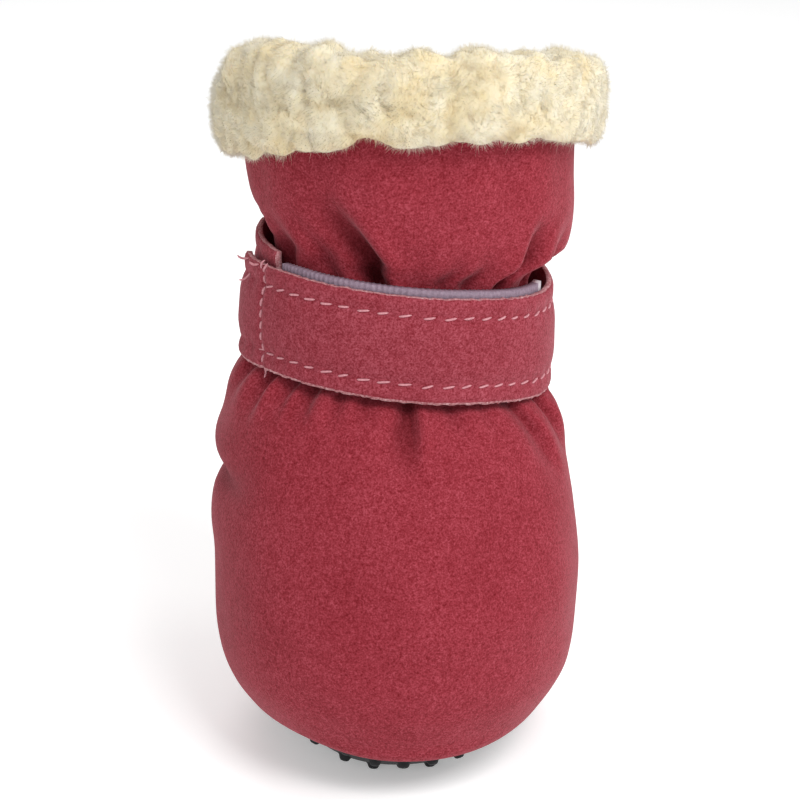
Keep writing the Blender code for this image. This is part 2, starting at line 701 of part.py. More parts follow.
def add_strap():
    azimuths = (STRAP_ROOT_AZIMUTH, STRAP_TIP_AZIMUTH)
    mesh_data = band(azimuths, STRAP_COLUMNS, strap_standoff, STRAP_THICKNESS, STRAP_WIDTH, strap_low)
    add_object("strap", mesh_data, CRIMSON_SUEDE)


def tape_low(azimuth):
    return strap_low(azimuth) + STRAP_WIDTH + TAPE_PROUD - TAPE_WIDTH


def add_hook_tape():
    azimuths = (TAPE_ROOT_AZIMUTH, TAPE_TIP_AZIMUTH)
    mesh_data = band(azimuths, TAPE_COLUMNS, ground, TAPE_THICKNESS, TAPE_WIDTH, tape_low)
    add_object("hook_tape", mesh_data, MAUVE_TAPE)


def main():
    for old in list(bpy.data.objects):
        bpy.data.objects.remove(old)
    add_outsole()
    add_insole()
    add_upper()
    add_cuff()
    add_strap()
    add_hook_tape()


main()
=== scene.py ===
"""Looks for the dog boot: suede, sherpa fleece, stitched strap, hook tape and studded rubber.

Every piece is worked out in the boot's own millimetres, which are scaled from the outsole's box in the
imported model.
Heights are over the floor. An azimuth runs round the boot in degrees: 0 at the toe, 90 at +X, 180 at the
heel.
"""

import math
from collections import namedtuple

import bmesh
import bpy
import numpy as np
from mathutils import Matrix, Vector


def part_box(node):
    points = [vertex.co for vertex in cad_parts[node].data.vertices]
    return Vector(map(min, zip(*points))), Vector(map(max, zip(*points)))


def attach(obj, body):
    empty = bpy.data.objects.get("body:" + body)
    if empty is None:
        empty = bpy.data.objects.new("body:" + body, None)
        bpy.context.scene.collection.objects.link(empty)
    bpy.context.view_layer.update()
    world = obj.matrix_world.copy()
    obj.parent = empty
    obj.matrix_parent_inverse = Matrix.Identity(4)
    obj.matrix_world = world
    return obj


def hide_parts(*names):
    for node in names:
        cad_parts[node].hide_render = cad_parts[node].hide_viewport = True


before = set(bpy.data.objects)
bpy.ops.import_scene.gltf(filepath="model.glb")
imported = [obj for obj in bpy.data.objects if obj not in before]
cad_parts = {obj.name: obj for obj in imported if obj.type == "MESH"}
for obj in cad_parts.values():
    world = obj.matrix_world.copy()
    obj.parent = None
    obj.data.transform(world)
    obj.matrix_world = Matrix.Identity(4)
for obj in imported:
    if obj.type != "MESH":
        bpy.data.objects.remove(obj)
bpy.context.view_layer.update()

# The boot's own millimetre, in metres, from the sole's width
SOLE_LOW, SOLE_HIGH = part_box("outsole")
SOLE_SPAN = 38.0
MM = (SOLE_HIGH.x - SOLE_LOW.x) / SOLE_SPAN

# Sizes in the boot's own millimetres
SOLE_WIDTH = SOLE_SPAN
SOLE_LENGTH = (SOLE_HIGH.y - SOLE_LOW.y) / MM
SOLE_THICKNESS = 1.8
TOE_RISE = 6.7
SIDE_RISE = 5.6
CORNER_RISE = 1.2
CORNER_AZIMUTH = -42
CORNER_TURN = 28
STUD_PITCH = 4.2
STUD_HEIGHT = 0.9
INSOLE_THICKNESS = 2.6
FLAT_SHARE = 0.68
CURL_POWER = 1.3
SOLE_SQUARENESS = 2.2
FOREFOOT_SPREAD = 0.03
STUD_LIMIT = 0.93

FOOT_WIDTH = 54.6
FOOT_LENGTH = 59.0
FOOT_HEIGHT = 58.8
STRAP_WIDTH = 15.5
SHAFT_HEIGHT = 26.6
WALL = 2.2
SQUARENESS = 2.15
ANKLE_TILT = -0.12
COLLAR_TILT = 0.02
COLLAR_LEAN = 0.33
SLIT_BELOW_STRAP = 6.0
LAP = 13.0
ANKLE_SPREAD = 1.4
COLLAR_SPREAD = 3.6

CUFF_HEIGHT = 10.0
CUFF_INSIDE = 13.0
CUFF_CROWN = 2.2
CROWN_BULGE = 1.4
BULGE_AZIMUTH = -62
BULGE_TURN = 40
CUFF_END = 2.6
PILE = 3.0
GAP = 0.3
LEAN_SLACK = 0.12

STRAP_THICKNESS = 1.1
STRAP_CLIMB = 1.6
STRAP_ROOT_AZIMUTH = 299
STRAP_TIP_AZIMUTH = -86
TAPE_AZIMUTHS = (70, -56)
TAPE_THICKNESS = 1.2
TAPE_WIDTH = 14.3
TAPE_PROUD = 0.8
LOOP_SLACK = 1.2
ROOT_STANDOFF = 0.3
TAB_LIFT = 0.2
GATHER_DEPTH = 0.5

STRAP_TOP = FOOT_HEIGHT + STRAP_WIDTH
TOP = STRAP_TOP + SHAFT_HEIGHT
SLIT_BOTTOM = FOOT_HEIGHT - SLIT_BELOW_STRAP
NOMINAL_RIM = 7.0
RIM_DROP = 0.7  # the suede's turned-under edge hangs this much lower than the sole's rim
TUCK_HEIGHT = 1.8  # and is turned under over this height
TUCK = 1.0

Section = namedtuple("Section", "zone height half_width front back side tilt lean")
SECTIONS = (
    Section("foot", 0.045, 0.430, 0.482, 0.477, 0.000, 0.0, 0.0),
    Section("foot", 0.100, 0.462, 0.500, 0.486, 0.000, 0.0, 0.0),
    Section("foot", 0.165, 0.484, 0.519, 0.488, 0.000, 0.0, 0.0),
    Section("foot", 0.270, 0.497, 0.532, 0.485, 0.000, 0.0, 0.0),
    Section("foot", 0.385, 0.500, 0.531, 0.476, 0.002, 0.1, 0.0),
    Section("foot", 0.500, 0.497, 0.508, 0.462, 0.006, 0.2, 0.0),
    Section("foot", 0.615, 0.489, 0.468, 0.448, 0.006, 0.4, 0.0),
    Section("foot", 0.730, 0.475, 0.418, 0.435, 0.004, 0.6, 0.0),
    Section("foot", 0.835, 0.455, 0.367, 0.425, 0.004, 0.8, 0.0),
    Section("foot", 0.905, 0.434, 0.326, 0.413, 0.004, 0.9, 0.0),
    Section("foot", 0.955, 0.402, 0.292, 0.398, 0.004, 1.0, 0.0),
    Section("foot", 0.985, 0.367, 0.258, 0.375, 0.006, 1.0, 0.0),
    Section("ankle", 0.05, 0.340, 0.232, 0.364, 0.014, 1.0, 0.0),
    Section("ankle", 0.50, 0.334, 0.222, 0.358, 0.020, 1.0, 0.0),
    Section("ankle", 0.92, 0.342, 0.224, 0.361, 0.024, 1.0, 0.0),
    Section("shaft", 0.04, 0.356, 0.226, 0.366, 0.034, 0.9, 0.0),
    Section("shaft", 0.12, 0.397, 0.242, 0.386, 0.068, 0.6, 0.1),
    Section("shaft", 0.23, 0.416, 0.256, 0.406, 0.066, 0.2, 0.3),
    Section("shaft", 0.42, 0.431, 0.264, 0.434, 0.055, 0.4, 0.6),
    Section("shaft", 0.62, 0.437, 0.260, 0.458, 0.051, 0.8, 0.8),
    Section("shaft", 0.82, 0.437, 0.250, 0.476, 0.049, 1.0, 1.0),
    Section("shaft", 1.00, 0.436, 0.241, 0.492, 0.048, 1.0, 1.0),
)

# Folds that run away from the strap: up the shaft or down the foot. From the strap's edge to the
# end of its reach (mm), a fold turns from one azimuth to another (degrees) and its half width (mm)
# goes from width to wide. depth is in mm, and a ridge's is negative. A fold with a skew is steeper
# towards -X (below 0) or +X (over 0), and stands up beside it there: its lips are a share of its
# depth, this many half widths from its middle.
FOLD_LIP = 0.16
FOLD_LIP_AT = 1.9
Fold = namedtuple("Fold", "azimuth end reach width wide depth skew", defaults=(0.0,))
SHAFT_FOLDS = (
    Fold(-13, -38, 12.5, 1.9, 3.0, 3.9, 0.35),
    Fold(-33, -58, 12.0, 2.4, 3.4, 0.9, -0.3),
    Fold(2, -4, 8.0, 1.5, 2.4, 0.7),
    Fold(12, 10, 6.0, 1.2, 2.0, 0.9, 0.2),
    Fold(23, 21, 5.5, 1.2, 2.0, 0.7),
    Fold(38, 48, 8.5, 1.3, 2.1, 3.2, -0.3),
    Fold(62, 67, 7.0, 1.3, 2.2, 1.3, 0.1),
    Fold(84, 92, 9.0, 1.6, 2.6, 1.5),
    Fold(112, 118, 9.0, 1.6, 2.6, 1.3),
    Fold(140, 146, 10.0, 1.6, 2.8, 1.5),
    Fold(-61, -66, 9.0, 1.8, 2.8, 0.9),
    Fold(-82, -86, 9.0, 1.5, 2.4, 1.6),
    Fold(-104, -110, 11.0, 1.6, 2.8, 1.6),
    Fold(-133, -138, 9.0, 1.6, 2.6, 1.4),
    Fold(-160, -162, 8.0, 1.4, 2.2, 1.0),
)
FOOT_FOLDS = (
    Fold(3, 0, 10.5, 1.0, 1.8, 2.9, 0.5),
    Fold(17, 19, 6.0, 1.1, 1.8, 0.9),
    Fold(31, 35, 6.0, 1.2, 1.8, 0.8),
    Fold(47, 68, 15.0, 1.2, 2.2, 1.7, 0.4),
    Fold(66, 86, 15.0, 1.2, 2.2, 1.7, 0.3),
    Fold(88, 100, 12.0, 1.5, 2.6, 1.5),
    Fold(112, 120, 14.0, 1.6, 2.8, 1.5),
    Fold(136, 140, 11.0, 1.5, 2.6, 1.4),
    Fold(158, 160, 9.0, 1.5, 2.6, 1.1),
    Fold(-14, -15, 5.0, 1.0, 1.6, 0.9),
    Fold(-24, -25, 6.0, 1.0, 1.6, 1.3, -0.3),
    Fold(-35, -38, 6.5, 1.0, 1.8, 1.5, 0.3),
    Fold(-46, -50, 7.0, 1.1, 1.8, 1.5, 0.3),
    Fold(-58, -66, 9.0, 1.2, 2.2, 1.8, 0.4),
    Fold(-76, -84, 9.0, 1.3, 2.2, 1.5),
    Fold(-102, -108, 13.0, 1.6, 2.8, 1.5),
    Fold(-128, -132, 11.0, 1.5, 2.6, 1.4),
    Fold(-152, -154, 9.0, 1.5, 2.6, 1.1),
)

# Dents that lie anywhere: azimuth and half turn in degrees, height, half height and depth in mm.
# slant is how much a dent climbs, in mm for each degree.
Dent = namedtuple("Dent", "azimuth turn height half slant depth")
DENTS = (
    Dent(-90, 20, 41.4, 1.7, 0.02, 1.7),
    Dent(-92, 20, 46.0, 2.3, 0.02, -0.7),
    Dent(-90, 24, 35.5, 4.0, 0.00, -0.5),
    Dent(-66, 12, 43.5, 2.4, 0.10, 0.5),
    Dent(-34, 7, 86.0, 6.5, 0.0, 0.55),
    Dent(-14, 6, 88.0, 5.0, 0.0, -0.4),
    Dent(6, 7, 87.0, 6.0, 0.0, 0.4),
    Dent(30, 7, 88.0, 5.5, 0.0, 0.45),
    Dent(58, 8, 87.0, 6.0, 0.0, 0.4),
    Dent(-68, 8, 87.0, 6.0, 0.0, 0.4),
    Dent(120, 12, 30.0, 9.0, 0.1, 0.8),
    Dent(-125, 12, 27.0, 8.0, -0.1, 0.8),
    Dent(166, 12, 36.0, 6.0, 0.1, 0.7),
    Dent(24, 14, 40.0, 7.0, 0.0, 0.35),
    Dent(-22, 12, 33.0, 8.0, 0.2, 0.3),
)

# The photograph's view, in mm and degrees
PHOTO_SHIFT = (0.9, 0.3)
CAMERA_AZIMUTH = -4
CAMERA_ELEVATION = 22
CAMERA_DISTANCE = 350
CAMERA_LENS = 106.7
SENSOR = 36
AIM_HEIGHT = 52


def blend(low, high, share):
    return low + (high - low) * share


def ease(share):
    share = np.clip(share, 0, 1)
    return share * share * (3 - 2 * share)


def rounded(value, squareness):
    return np.sign(value) * np.abs(value) ** (2 / squareness)


def unit(vectors):
    return vectors / np.maximum(np.linalg.norm(vectors, axis=-1, keepdims=True), 1e-12)


def hashed(cells, seed):
    """Three random numbers from 0 to 1 for each whole-number cell."""
    cells = cells.astype(np.int64)
    mixed = cells[..., 0] * 73856093 ^ cells[..., 1] * 19349663 ^ cells[..., 2] * 83492791 ^ seed * 2654435761
    out = []
    for k in range(3):
        value = (mixed + k * 7919 + 104729) & 0xFFFFFFFF
        value = ((value >> 15) ^ value) * 2246822519 & 0xFFFFFFFF
        value = ((value >> 13) ^ value) * 3266489917 & 0xFFFFFFFF
        value = (value >> 16) ^ value
        out.append(value / 0xFFFFFFFF)
    return np.stack(out, axis=-1)


def soft_noise(points, size, seed=0):
    """Smooth noise from -1 to 1 with features of about this size, in mm."""
    scaled = points / size
    cell = np.floor(scaled)
    inside = ease(scaled - cell)
    total = np.zeros(points.shape[:-1])
    for corner in np.ndindex(2, 2, 2):
        weight = np.prod(np.where(corner, inside, 1 - inside), axis=-1)
        total += weight * (hashed(cell + corner, seed)[..., 0] * 2 - 1)
    return total


def lumps(points, size, seed=0):
    """Rounded lumps of this size: the height from 0 to 1, and the way out from each lump's middle."""
    scaled = points / size
    cell = np.floor(scaled)
    best = np.full(points.shape[:-1], 9.0)
    away = np.zeros(points.shape)
    for step in np.ndindex(3, 3, 3):
        near = cell + np.array(step) - 1
        middle = near + hashed(near, seed)
        offset = scaled - middle
        distance = np.linalg.norm(offset, axis=-1)
        closer = distance < best
        best = np.where(closer, distance, best)
        away = np.where(closer[..., None], offset, away)
    return np.clip(1 - best**2 * 1.25, 0, 1), away


def curve_through(x, y):
    """A smooth curve through the points that doesn't overshoot them."""
    x, y = np.asarray(x, float), np.asarray(y, float)
    step = np.diff(x)
    slope = np.diff(y) / step
    tangent = np.zeros_like(y)
    inner = slope[:-1] * slope[1:] > 0
    first, second = 2 * step[1:] + step[:-1], step[1:] + 2 * step[:-1]
    safe = np.where(inner, 1, np.nan)
    with np.errstate(divide="ignore", invalid="ignore"):
        mean = (first + second) / (first / slope[:-1] + second / slope[1:]) * safe
    tangent[1:-1] = np.nan_to_num(mean)
    tangent[0], tangent[-1] = slope[0], slope[-1]

    def at(q):
        q = np.clip(q, x[0], x[-1])
        i = np.clip(np.searchsorted(x, q) - 1, 0, len(x) - 2)
        t = (q - x[i]) / step[i]
        a, b = 2 * t**3 - 3 * t**2 + 1, t**3 - 2 * t**2 + t
        c, d = 3 * t**2 - 2 * t**3, t**3 - t**2
        return a * y[i] + b * step[i] * tangent[i] + c * y[i + 1] + d * step[i] * tangent[i + 1]

    return at


def nominal_height(section):
    if section.zone == "foot":
        return blend(NOMINAL_RIM, FOOT_HEIGHT, section.height)
    if section.zone == "ankle":
        return FOOT_HEIGHT + section.height * STRAP_WIDTH
    return STRAP_TOP + section.height * SHAFT_HEIGHT


def section_curves():
    """Each column of the section table as a smooth curve over the height, from the sole's rim up."""
    wide = (SOLE_WIDTH / 2 + GAP + WALL) / FOOT_WIDTH
    long = (SOLE_LENGTH / 2 + GAP + WALL) / FOOT_LENGTH
    rows = [(NOMINAL_RIM, wide, long, long, 0.0, 0.0, 0.0)]
    for s in SECTIONS:
        above_ankle = s.zone == "shaft" and s.height > 0.3
        tilt = s.tilt * (COLLAR_TILT if above_ankle else ANKLE_TILT)
        rows.append((nominal_height(s), s.half_width, s.front, s.back, s.side, tilt, s.lean * COLLAR_LEAN))
    table = np.array(rows).T
    return [curve_through(table[0], column) for column in table[1:]]


CURVES = section_curves()


def turn_between(azimuth, middle):
    return (azimuth - middle + 180) % 360 - 180


def sole_outline(azimuth, share=1.0):
    angle = np.radians(azimuth)
    width = SOLE_WIDTH * (1 + FOREFOOT_SPREAD * np.cos(angle))
    x = share * width / 2 * rounded(np.sin(angle), SOLE_SQUARENESS)
    y = -share * SOLE_LENGTH / 2 * rounded(np.cos(angle), SOLE_SQUARENESS)
    return x, y


def sole_rise(azimuth, share):
    toward_toe = ease((np.cos(np.radians(azimuth)) + 0.2) / 1.2)
    corner = CORNER_RISE * np.exp(-((turn_between(azimuth, CORNER_AZIMUTH) / CORNER_TURN) ** 2))
    curl = np.maximum(0, (share - FLAT_SHARE) / (1 - FLAT_SHARE))
    return (blend(SIDE_RISE, TOE_RISE, toward_toe) + corner) * curl**CURL_POWER


def sole_height(azimuth, share, over):
    return STUD_HEIGHT + sole_rise(azimuth, share) + over


def near_back(turn):
    return ease((turn - 110) / 48)


def lap_angle(height):
    full = math.degrees(LAP / 2 / (FOOT_LENGTH * SECTIONS[-1].back))
    over = height - SLIT_BOTTOM
    return np.where(over <= 0, 0.0, blend(-1.2, full, ease((over - 4.2) / 8)) * ease(over / 1.2))


def flap_step(azimuth, height):
    over = height - SLIT_BOTTOM
    collar = (height - STRAP_TOP) / SHAFT_HEIGHT
    spread = blend(ANKLE_SPREAD, COLLAR_SPREAD, ease(collar / 0.42))
    return -np.sign(azimuth) * spread * near_back(np.abs(azimuth)) * ease(over / 4)


def real_height(height, azimuth):
    """The height of a place on the foot, whose rim rises and falls with the sole's edge."""
    rim = sole_height(azimuth, 1.0, -RIM_DROP)
    share = (height - NOMINAL_RIM) / (FOOT_HEIGHT - NOMINAL_RIM)
    return np.where(height < FOOT_HEIGHT, blend(rim, FOOT_HEIGHT, share), height)


def wrap(azimuth, height, out=0.0, level=None):
    """Points this far out of the boot's plain outline. level is the height on the outline that
    they are measured from, where it isn't their own."""
    at = height if level is None else level
    half_width, front, back, side, tilt, lean = (curve(at) for curve in CURVES)
    angle = np.radians(azimuth)
    half_width = half_width * FOOT_WIDTH
    half_length = FOOT_LENGTH * (front + back) / 2
    x = half_width * rounded(np.sin(angle), SQUARENESS)
    y = -half_length * rounded(np.cos(angle), SQUARENESS)
    normal = unit(np.stack([x / half_width**2, y / half_length**2], axis=-1))
    x = x + normal[..., 0] * out + FOOT_WIDTH * side
    y = y + normal[..., 1] * out + FOOT_LENGTH * (back - front) / 2
    z = real_height(height, azimuth) + tilt * x - lean * y
    return np.stack(np.broadcast_arrays(x, y, z), axis=-1)


GATHER_GIRTH = 0.37  # millimetres round the gathered ankle for each degree


def relief(azimuth, height):
    """How far the suede stands out of its plain outline: gathers, folds and dents."""
    total = np.zeros(np.broadcast(azimuth, height).shape)
    folds = [(fold, height - STRAP_TOP) for fold in SHAFT_FOLDS]
    folds += [(fold, FOOT_HEIGHT - height) for fold in FOOT_FOLDS]
    for fold, away in folds:
        along = away / fold.reach
        inside = np.clip(along, 0, 1)
        middle = blend(fold.azimuth, fold.end, inside)
        width = blend(fold.width, fold.wide, inside)
        aside = turn_between(azimuth, middle) * GATHER_GIRTH / width
        aside = aside / (1 - fold.skew * np.tanh(aside * 2))
        fade = np.where(along > 0, ease((1 - along) / 0.75), ease(1 + away / 4.0))
        total -= fold.depth * fade * np.exp(-(aside**2))
        beside = FOLD_LIP * fold.depth * fade
        total += beside * (1 + fold.skew) * np.exp(-((aside - FOLD_LIP_AT) ** 2))
        total += beside * (1 - fold.skew) * np.exp(-((aside + FOLD_LIP_AT) ** 2))
    for dent in DENTS:
        turn = turn_between(azimuth, dent.azimuth)
        rise = (height - dent.height - dent.slant * turn) / dent.half
        total -= dent.depth * np.exp(-((turn / dent.turn) ** 2) - rise**2)
    middle = FOOT_HEIGHT + STRAP_WIDTH / 2
    fade = 1 - ease((np.abs(height - middle) - STRAP_WIDTH / 2) / 7)
    angle = np.radians(azimuth)
    wave = np.sin(angle * 13 + 0.8) + 0.5 * np.sin(angle * 22 + 2.0)
    return total + GATHER_DEPTH * 0.7 * wave * fade


def upper_outline(azimuth, height, detail=True):
    out = flap_step(azimuth, height)
    if detail:
        out = out + relief(azimuth, height)
    points = wrap(azimuth, height, out)
    if detail:
        slack = soft_noise(points, 13, 3) * 0.35 + soft_noise(points, 5.5, 4) * 0.12
        rim = ease((height - NOMINAL_RIM) / 5)
        points[..., :2] += unit(points[..., :2] - np.array([0, 4.0])) * (slack * rim)[..., None]
    return points


def grid_normals(points):
    """Outward normals of a grid whose rows go up and whose columns go round by the azimuth."""
    along = np.gradient(points, axis=1)
    up = np.gradient(points, axis=0)
    return unit(np.cross(along, up))


def grid_faces(rows, columns, offset=0, flip=False, closed=False):
    """Quads of a grid, facing outwards where rows go up and columns go round. closed joins the last
    column to the first."""
    index = offset + np.arange(rows * columns).reshape(rows, columns)
    if closed:
        index = np.concatenate([index, index[:, :1]], axis=1)
    corners = (index[:-1, :-1], index[:-1, 1:], index[1:, 1:], index[1:, :-1])
    quads = np.stack(corners, axis=-1).reshape(-1, 4)
    return quads[:, ::-1] if flip else quads


def edge_faces(line, half):
    """Quads from a line of points to the same line on the other side, half the points further on."""
    return np.stack([line[:-1], line[1:], line[1:] + half, line[:-1] + half], axis=-1)


def outward(points, groups):
    """The groups of quads, all turned over if the closed surface that they make is inside out."""
    volume = 0.0
    for quads in groups:
        a, b, c, d = (points[quads[:, k]] for k in range(4))
        volume += np.einsum("ij,ij->i", a, np.cross(b, c) + np.cross(c, d)).sum()
    return groups if volume > 0 else [quads[:, ::-1] for quads in groups]


def two_sided(first, second):
    """Points and groups of quads of a closed sheet between two grids."""
    rows, columns = first.shape[:2]
    half = rows * columns
    index = np.arange(half).reshape(rows, columns)
    border = np.concatenate([index[0, :-1], index[:-1, -1], index[-1, :0:-1], index[::-1, 0]])
    flat = np.concatenate([first.reshape(-1, 3), second.reshape(-1, 3)])
    inner = grid_faces(rows, columns, half, flip=True)
    groups = [grid_faces(rows, columns), inner, edge_faces(border, half)[:, ::-1]]
    return flat, outward(flat, groups)


def add_object(name, data):
    made = bpy.data.objects.new(name, data)
    bpy.context.scene.collection.objects.link(made)
    return made


def mesh_object(name, points, groups, materials, marks=None):
    """An object from points in the boot's millimetres and arrays of triangles or quads."""
    mesh = bpy.data.meshes.new(name)
    mesh.vertices.add(len(points))
    mesh.vertices.foreach_set("co", (np.asarray(points) * MM).astype(np.float32).ravel())
    groups = [np.asarray(g) for g in groups if len(g)]
    corners = np.concatenate([g.ravel() for g in groups]).astype(np.int32)
    sizes = np.concatenate([np.full(len(g), g.shape[1]) for g in groups])
    starts = np.concatenate([[0], np.cumsum(sizes)[:-1]]).astype(np.int32)
    mesh.loops.add(len(corners))
    mesh.loops.foreach_set("vertex_index", corners)
    mesh.polygons.add(len(sizes))
    mesh.polygons.foreach_set("loop_start", starts)
    mesh.polygons.foreach_set("use_smooth", np.full(len(sizes), True))
    if marks is not None:
        mesh.polygons.foreach_set("material_index", np.asarray(marks, np.int32))
    mesh.update(calc_edges=True)
    for material in materials:
        mesh.materials.append(material)
    made = add_object(name, mesh)
    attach(made, "root")
    return made


def add_mark(piece, name, values):
    """Stores one number from 0 to 1 for each point, which a material reads by this name."""
    layer = piece.data.attributes.new(name, "FLOAT", "POINT")
    layer.data.foreach_set("value", np.asarray(values, np.float32).ravel())


def add_shade(piece, values):
    add_mark(piece, "shade", values)


# Materials


class Surface:
    """A material in the making: its nodes, and short ways to add and join them."""

    def __init__(self, name):
        self.material = bpy.data.materials.new(name)
        self.material.use_nodes = True
        tree = self.material.node_tree
        self.nodes, self.links = tree.nodes, tree.links
        self.place = tree.nodes.new("ShaderNodeTexCoord").outputs["Object"]

    def fill(self, node, inputs):
        """Gives each input of a node its value, or links it to a socket."""
        for name, value in inputs.items():
            if isinstance(value, bpy.types.NodeSocket):
                self.links.new(value, node.inputs[name])
            else:
                node.inputs[name].default_value = value
        return node

    def noise(self, size, detail=4, rough=0.6):
        inputs = {"Scale": 1 / (size * MM), "Detail": detail, "Roughness": rough, "Vector": self.place}
        return self.fill(self.nodes.new("ShaderNodeTexNoise"), inputs).outputs["Fac"]

    def attribute(self, name):
        node = self.nodes.new("ShaderNodeAttribute")
        node.attribute_name = name
        return node.outputs["Fac"]

    def ramp(self, source, stops):
        node = self.fill(self.nodes.new("ShaderNodeValToRGB"), {"Fac": source})
        elements = node.color_ramp.elements
        while len(elements) < len(stops):
            elements.new(0.5)
        for element, (position, colour) in zip(elements, stops):
            element.position = position
            element.color = (*colour, 1)
        return node.outputs["Color"]

    def multiply(self, first, second):
        node = self.nodes.new("ShaderNodeMix")
        node.data_type = "RGBA"
        node.blend_type = "MULTIPLY"
        return self.fill(node, {"Factor": 1.0, 6: first, 7: second}).outputs[2]

    def bump(self, height, strength, depth, after=None):
        inputs = {"Strength": strength, "Distance": depth * MM, "Height": height}
        if after is not None:
            inputs["Normal"] = after
        return self.fill(self.nodes.new("ShaderNodeBump"), inputs).outputs["Normal"]

    def finish(self, inputs):
        self.fill(self.nodes["Principled BSDF"], inputs)
        return self.material


def grain_and_painted_sheen(low, high):
    """Factors from low to high, stronger in green and blue, so that the nap's tips look paler: a random grain
    whose pale side is partly painted sheen.
    """
    return [(at, (value, value**2.3, value**2.1)) for at, value in ((0.32, low), (0.68, high))]


def suede(name, colour, sheen=0.22):
    """Napped microfibre: a fine mottled grain whose pale flecks are partly painted sheen, softly brushed,
    with a little sheen, and with painted shade darkening its folds.
    """
    made = Surface(name)
    broad, brush = made.noise(11, 2, 0.5), made.noise(2.2)
    grain, nap = made.noise(0.55, 3, 0.75), made.noise(0.27, 2, 0.7)
    # Painted shade: the deeper a fold presses in, by the "crease" mark, the darker the suede is painted
    # there.
    painted_crease_shade = made.ramp(made.attribute("crease"), ((0.0, (1.0,) * 3), (1.0, (0.42, 0.30, 0.30))))
    out = made.multiply((*colour, 1), painted_crease_shade)
    # Mottle and grain in the suede's tone, their paler flecks partly painted sheen on the nap.
    for noise, spread in ((broad, 0.04), (brush, 0.06), (grain, 0.17), (nap, 0.32)):
        out = made.multiply(out, made.ramp(noise, grain_and_painted_sheen(1 - spread, 1 + spread)))
    inputs = {
        "Base Color": out,
        "Roughness": 0.95,
        "Specular IOR Level": 0.12,
        "Sheen Weight": sheen,
        "Sheen Roughness": 0.4,
        "Sheen Tint": (1.0, 0.60, 0.66, 1),
        "Normal": made.bump(grain, 0.5, 0.25, made.bump(nap, 0.5, 0.16)),
    }
    return made.finish(inputs)


def fleece(name, deep, mid, pale):
    """Cream sherpa with painted shade: darker and yellower in its hollows, almost white on top of each curl,
    as its "shade" mark says.
    """
    made = Surface(name)
    fine = made.noise(0.5, 3, 0.7)
    # Painted shade: the "shade" mark runs from the dark, yellow hollows to the pale tops.
    base = made.ramp(made.attribute("shade"), ((0.0, deep), (0.32, mid), (0.75, pale)))
    warm = made.ramp(made.noise(5, 3, 0.6), ((0.35, (1.0, 0.93, 0.78)), (0.65, (1.0, 1.0, 1.0))))
    grain = made.ramp(fine, ((0.3, (0.96,) * 3), (0.7, (1.03,) * 3)))
    inputs = {
        "Base Color": made.multiply(made.multiply(base, warm), grain),
        "Roughness": 1.0,
        "Specular IOR Level": 0.05,
        "Sheen Weight": 0.3,
        "Sheen Roughness": 0.6,
        "Sheen Tint": (1.0, 0.96, 0.86, 1),
        "Subsurface Weight": 0.4,
        "Subsurface Scale": 2.5 * MM,
        "Subsurface Radius": (1.0, 0.8, 0.5),
        "Normal": made.bump(fine, 0.3, 0.2),
    }
    return made.finish(inputs)


def plain_textured(name, low, high, size, roughness, depth, specular):
    """A material with a fine even grain."""
    made = Surface(name)
    grain = made.noise(size)
    inputs = {
        "Base Color": made.ramp(grain, ((0.3, low), (0.7, high))),
        "Roughness": roughness,
        "Specular IOR Level": specular,
        "Normal": made.bump(grain, 0.4, depth),
    }
    return made.finish(inputs)


SUEDE = suede("rose_suede", (0.260, 0.023, 0.035))
STRAP_SUEDE = suede("strap_suede", (0.262, 0.031, 0.045))
RAW_EDGE = suede("raw_suede_edge", (0.46, 0.17, 0.19), 0.1)
FLEECE = fleece("cream_fleece", (0.56, 0.40, 0.17), (0.71, 0.60, 0.37), (0.76, 0.70, 0.54))
FLEECE_DEEP = fleece("lining_fleece", (0.42, 0.28, 0.13), (0.66, 0.52, 0.30), (0.80, 0.68, 0.46))
RUBBER = plain_textured("black_rubber", (0.004, 0.004, 0.005), (0.010, 0.011, 0.013), 0.5, 0.55, 0.08, 0.3)
THREAD = plain_textured("pink_thread", (0.46, 0.17, 0.20), (0.64, 0.31, 0.34), 0.25, 0.7, 0.05, 0.3)
TAPE = plain_textured("mauve_tape", (0.18, 0.12, 0.165), (0.28, 0.20, 0.26), 0.4, 0.55, 0.15, 0.45)
TAPE_EDGE = plain_textured("tape_end", (0.48, 0.42, 0.46), (0.62, 0.57, 0.60), 0.4, 0.6, 0.1, 0.4)


# Upper

UPPER_COLUMNS = 250
# Where each band of the upper's rows starts, and how many rows it has
UPPER_BANDS = (
    (NOMINAL_RIM, 7),
    (NOMINAL_RIM + TUCK_HEIGHT, 10),
    (14, 34),
    (40, 36),
    (FOOT_HEIGHT, 12),
    (STRAP_TOP, 28),
    (STRAP_TOP + 14, 17),
    (TOP, 1),
)


def upper_heights():
    """Heights of the upper's rows, closer together next to the strap."""
    bands = zip(UPPER_BANDS, UPPER_BANDS[1:])
    parts = [np.linspace(low, high, count, endpoint=False) for (low, count), (high, _) in bands]
    return np.append(np.concatenate(parts), TOP)


def round_boot(heights, columns):
    """A grid once round the boot: azimuths, heights and which rows lie below the slit."""
    level = heights[:, None] * np.ones((1, columns))
    azimuth = np.linspace(-1, 1, columns)[None, :] * (180 + lap_angle(level))
    return azimuth, level, heights <= SLIT_BOTTOM


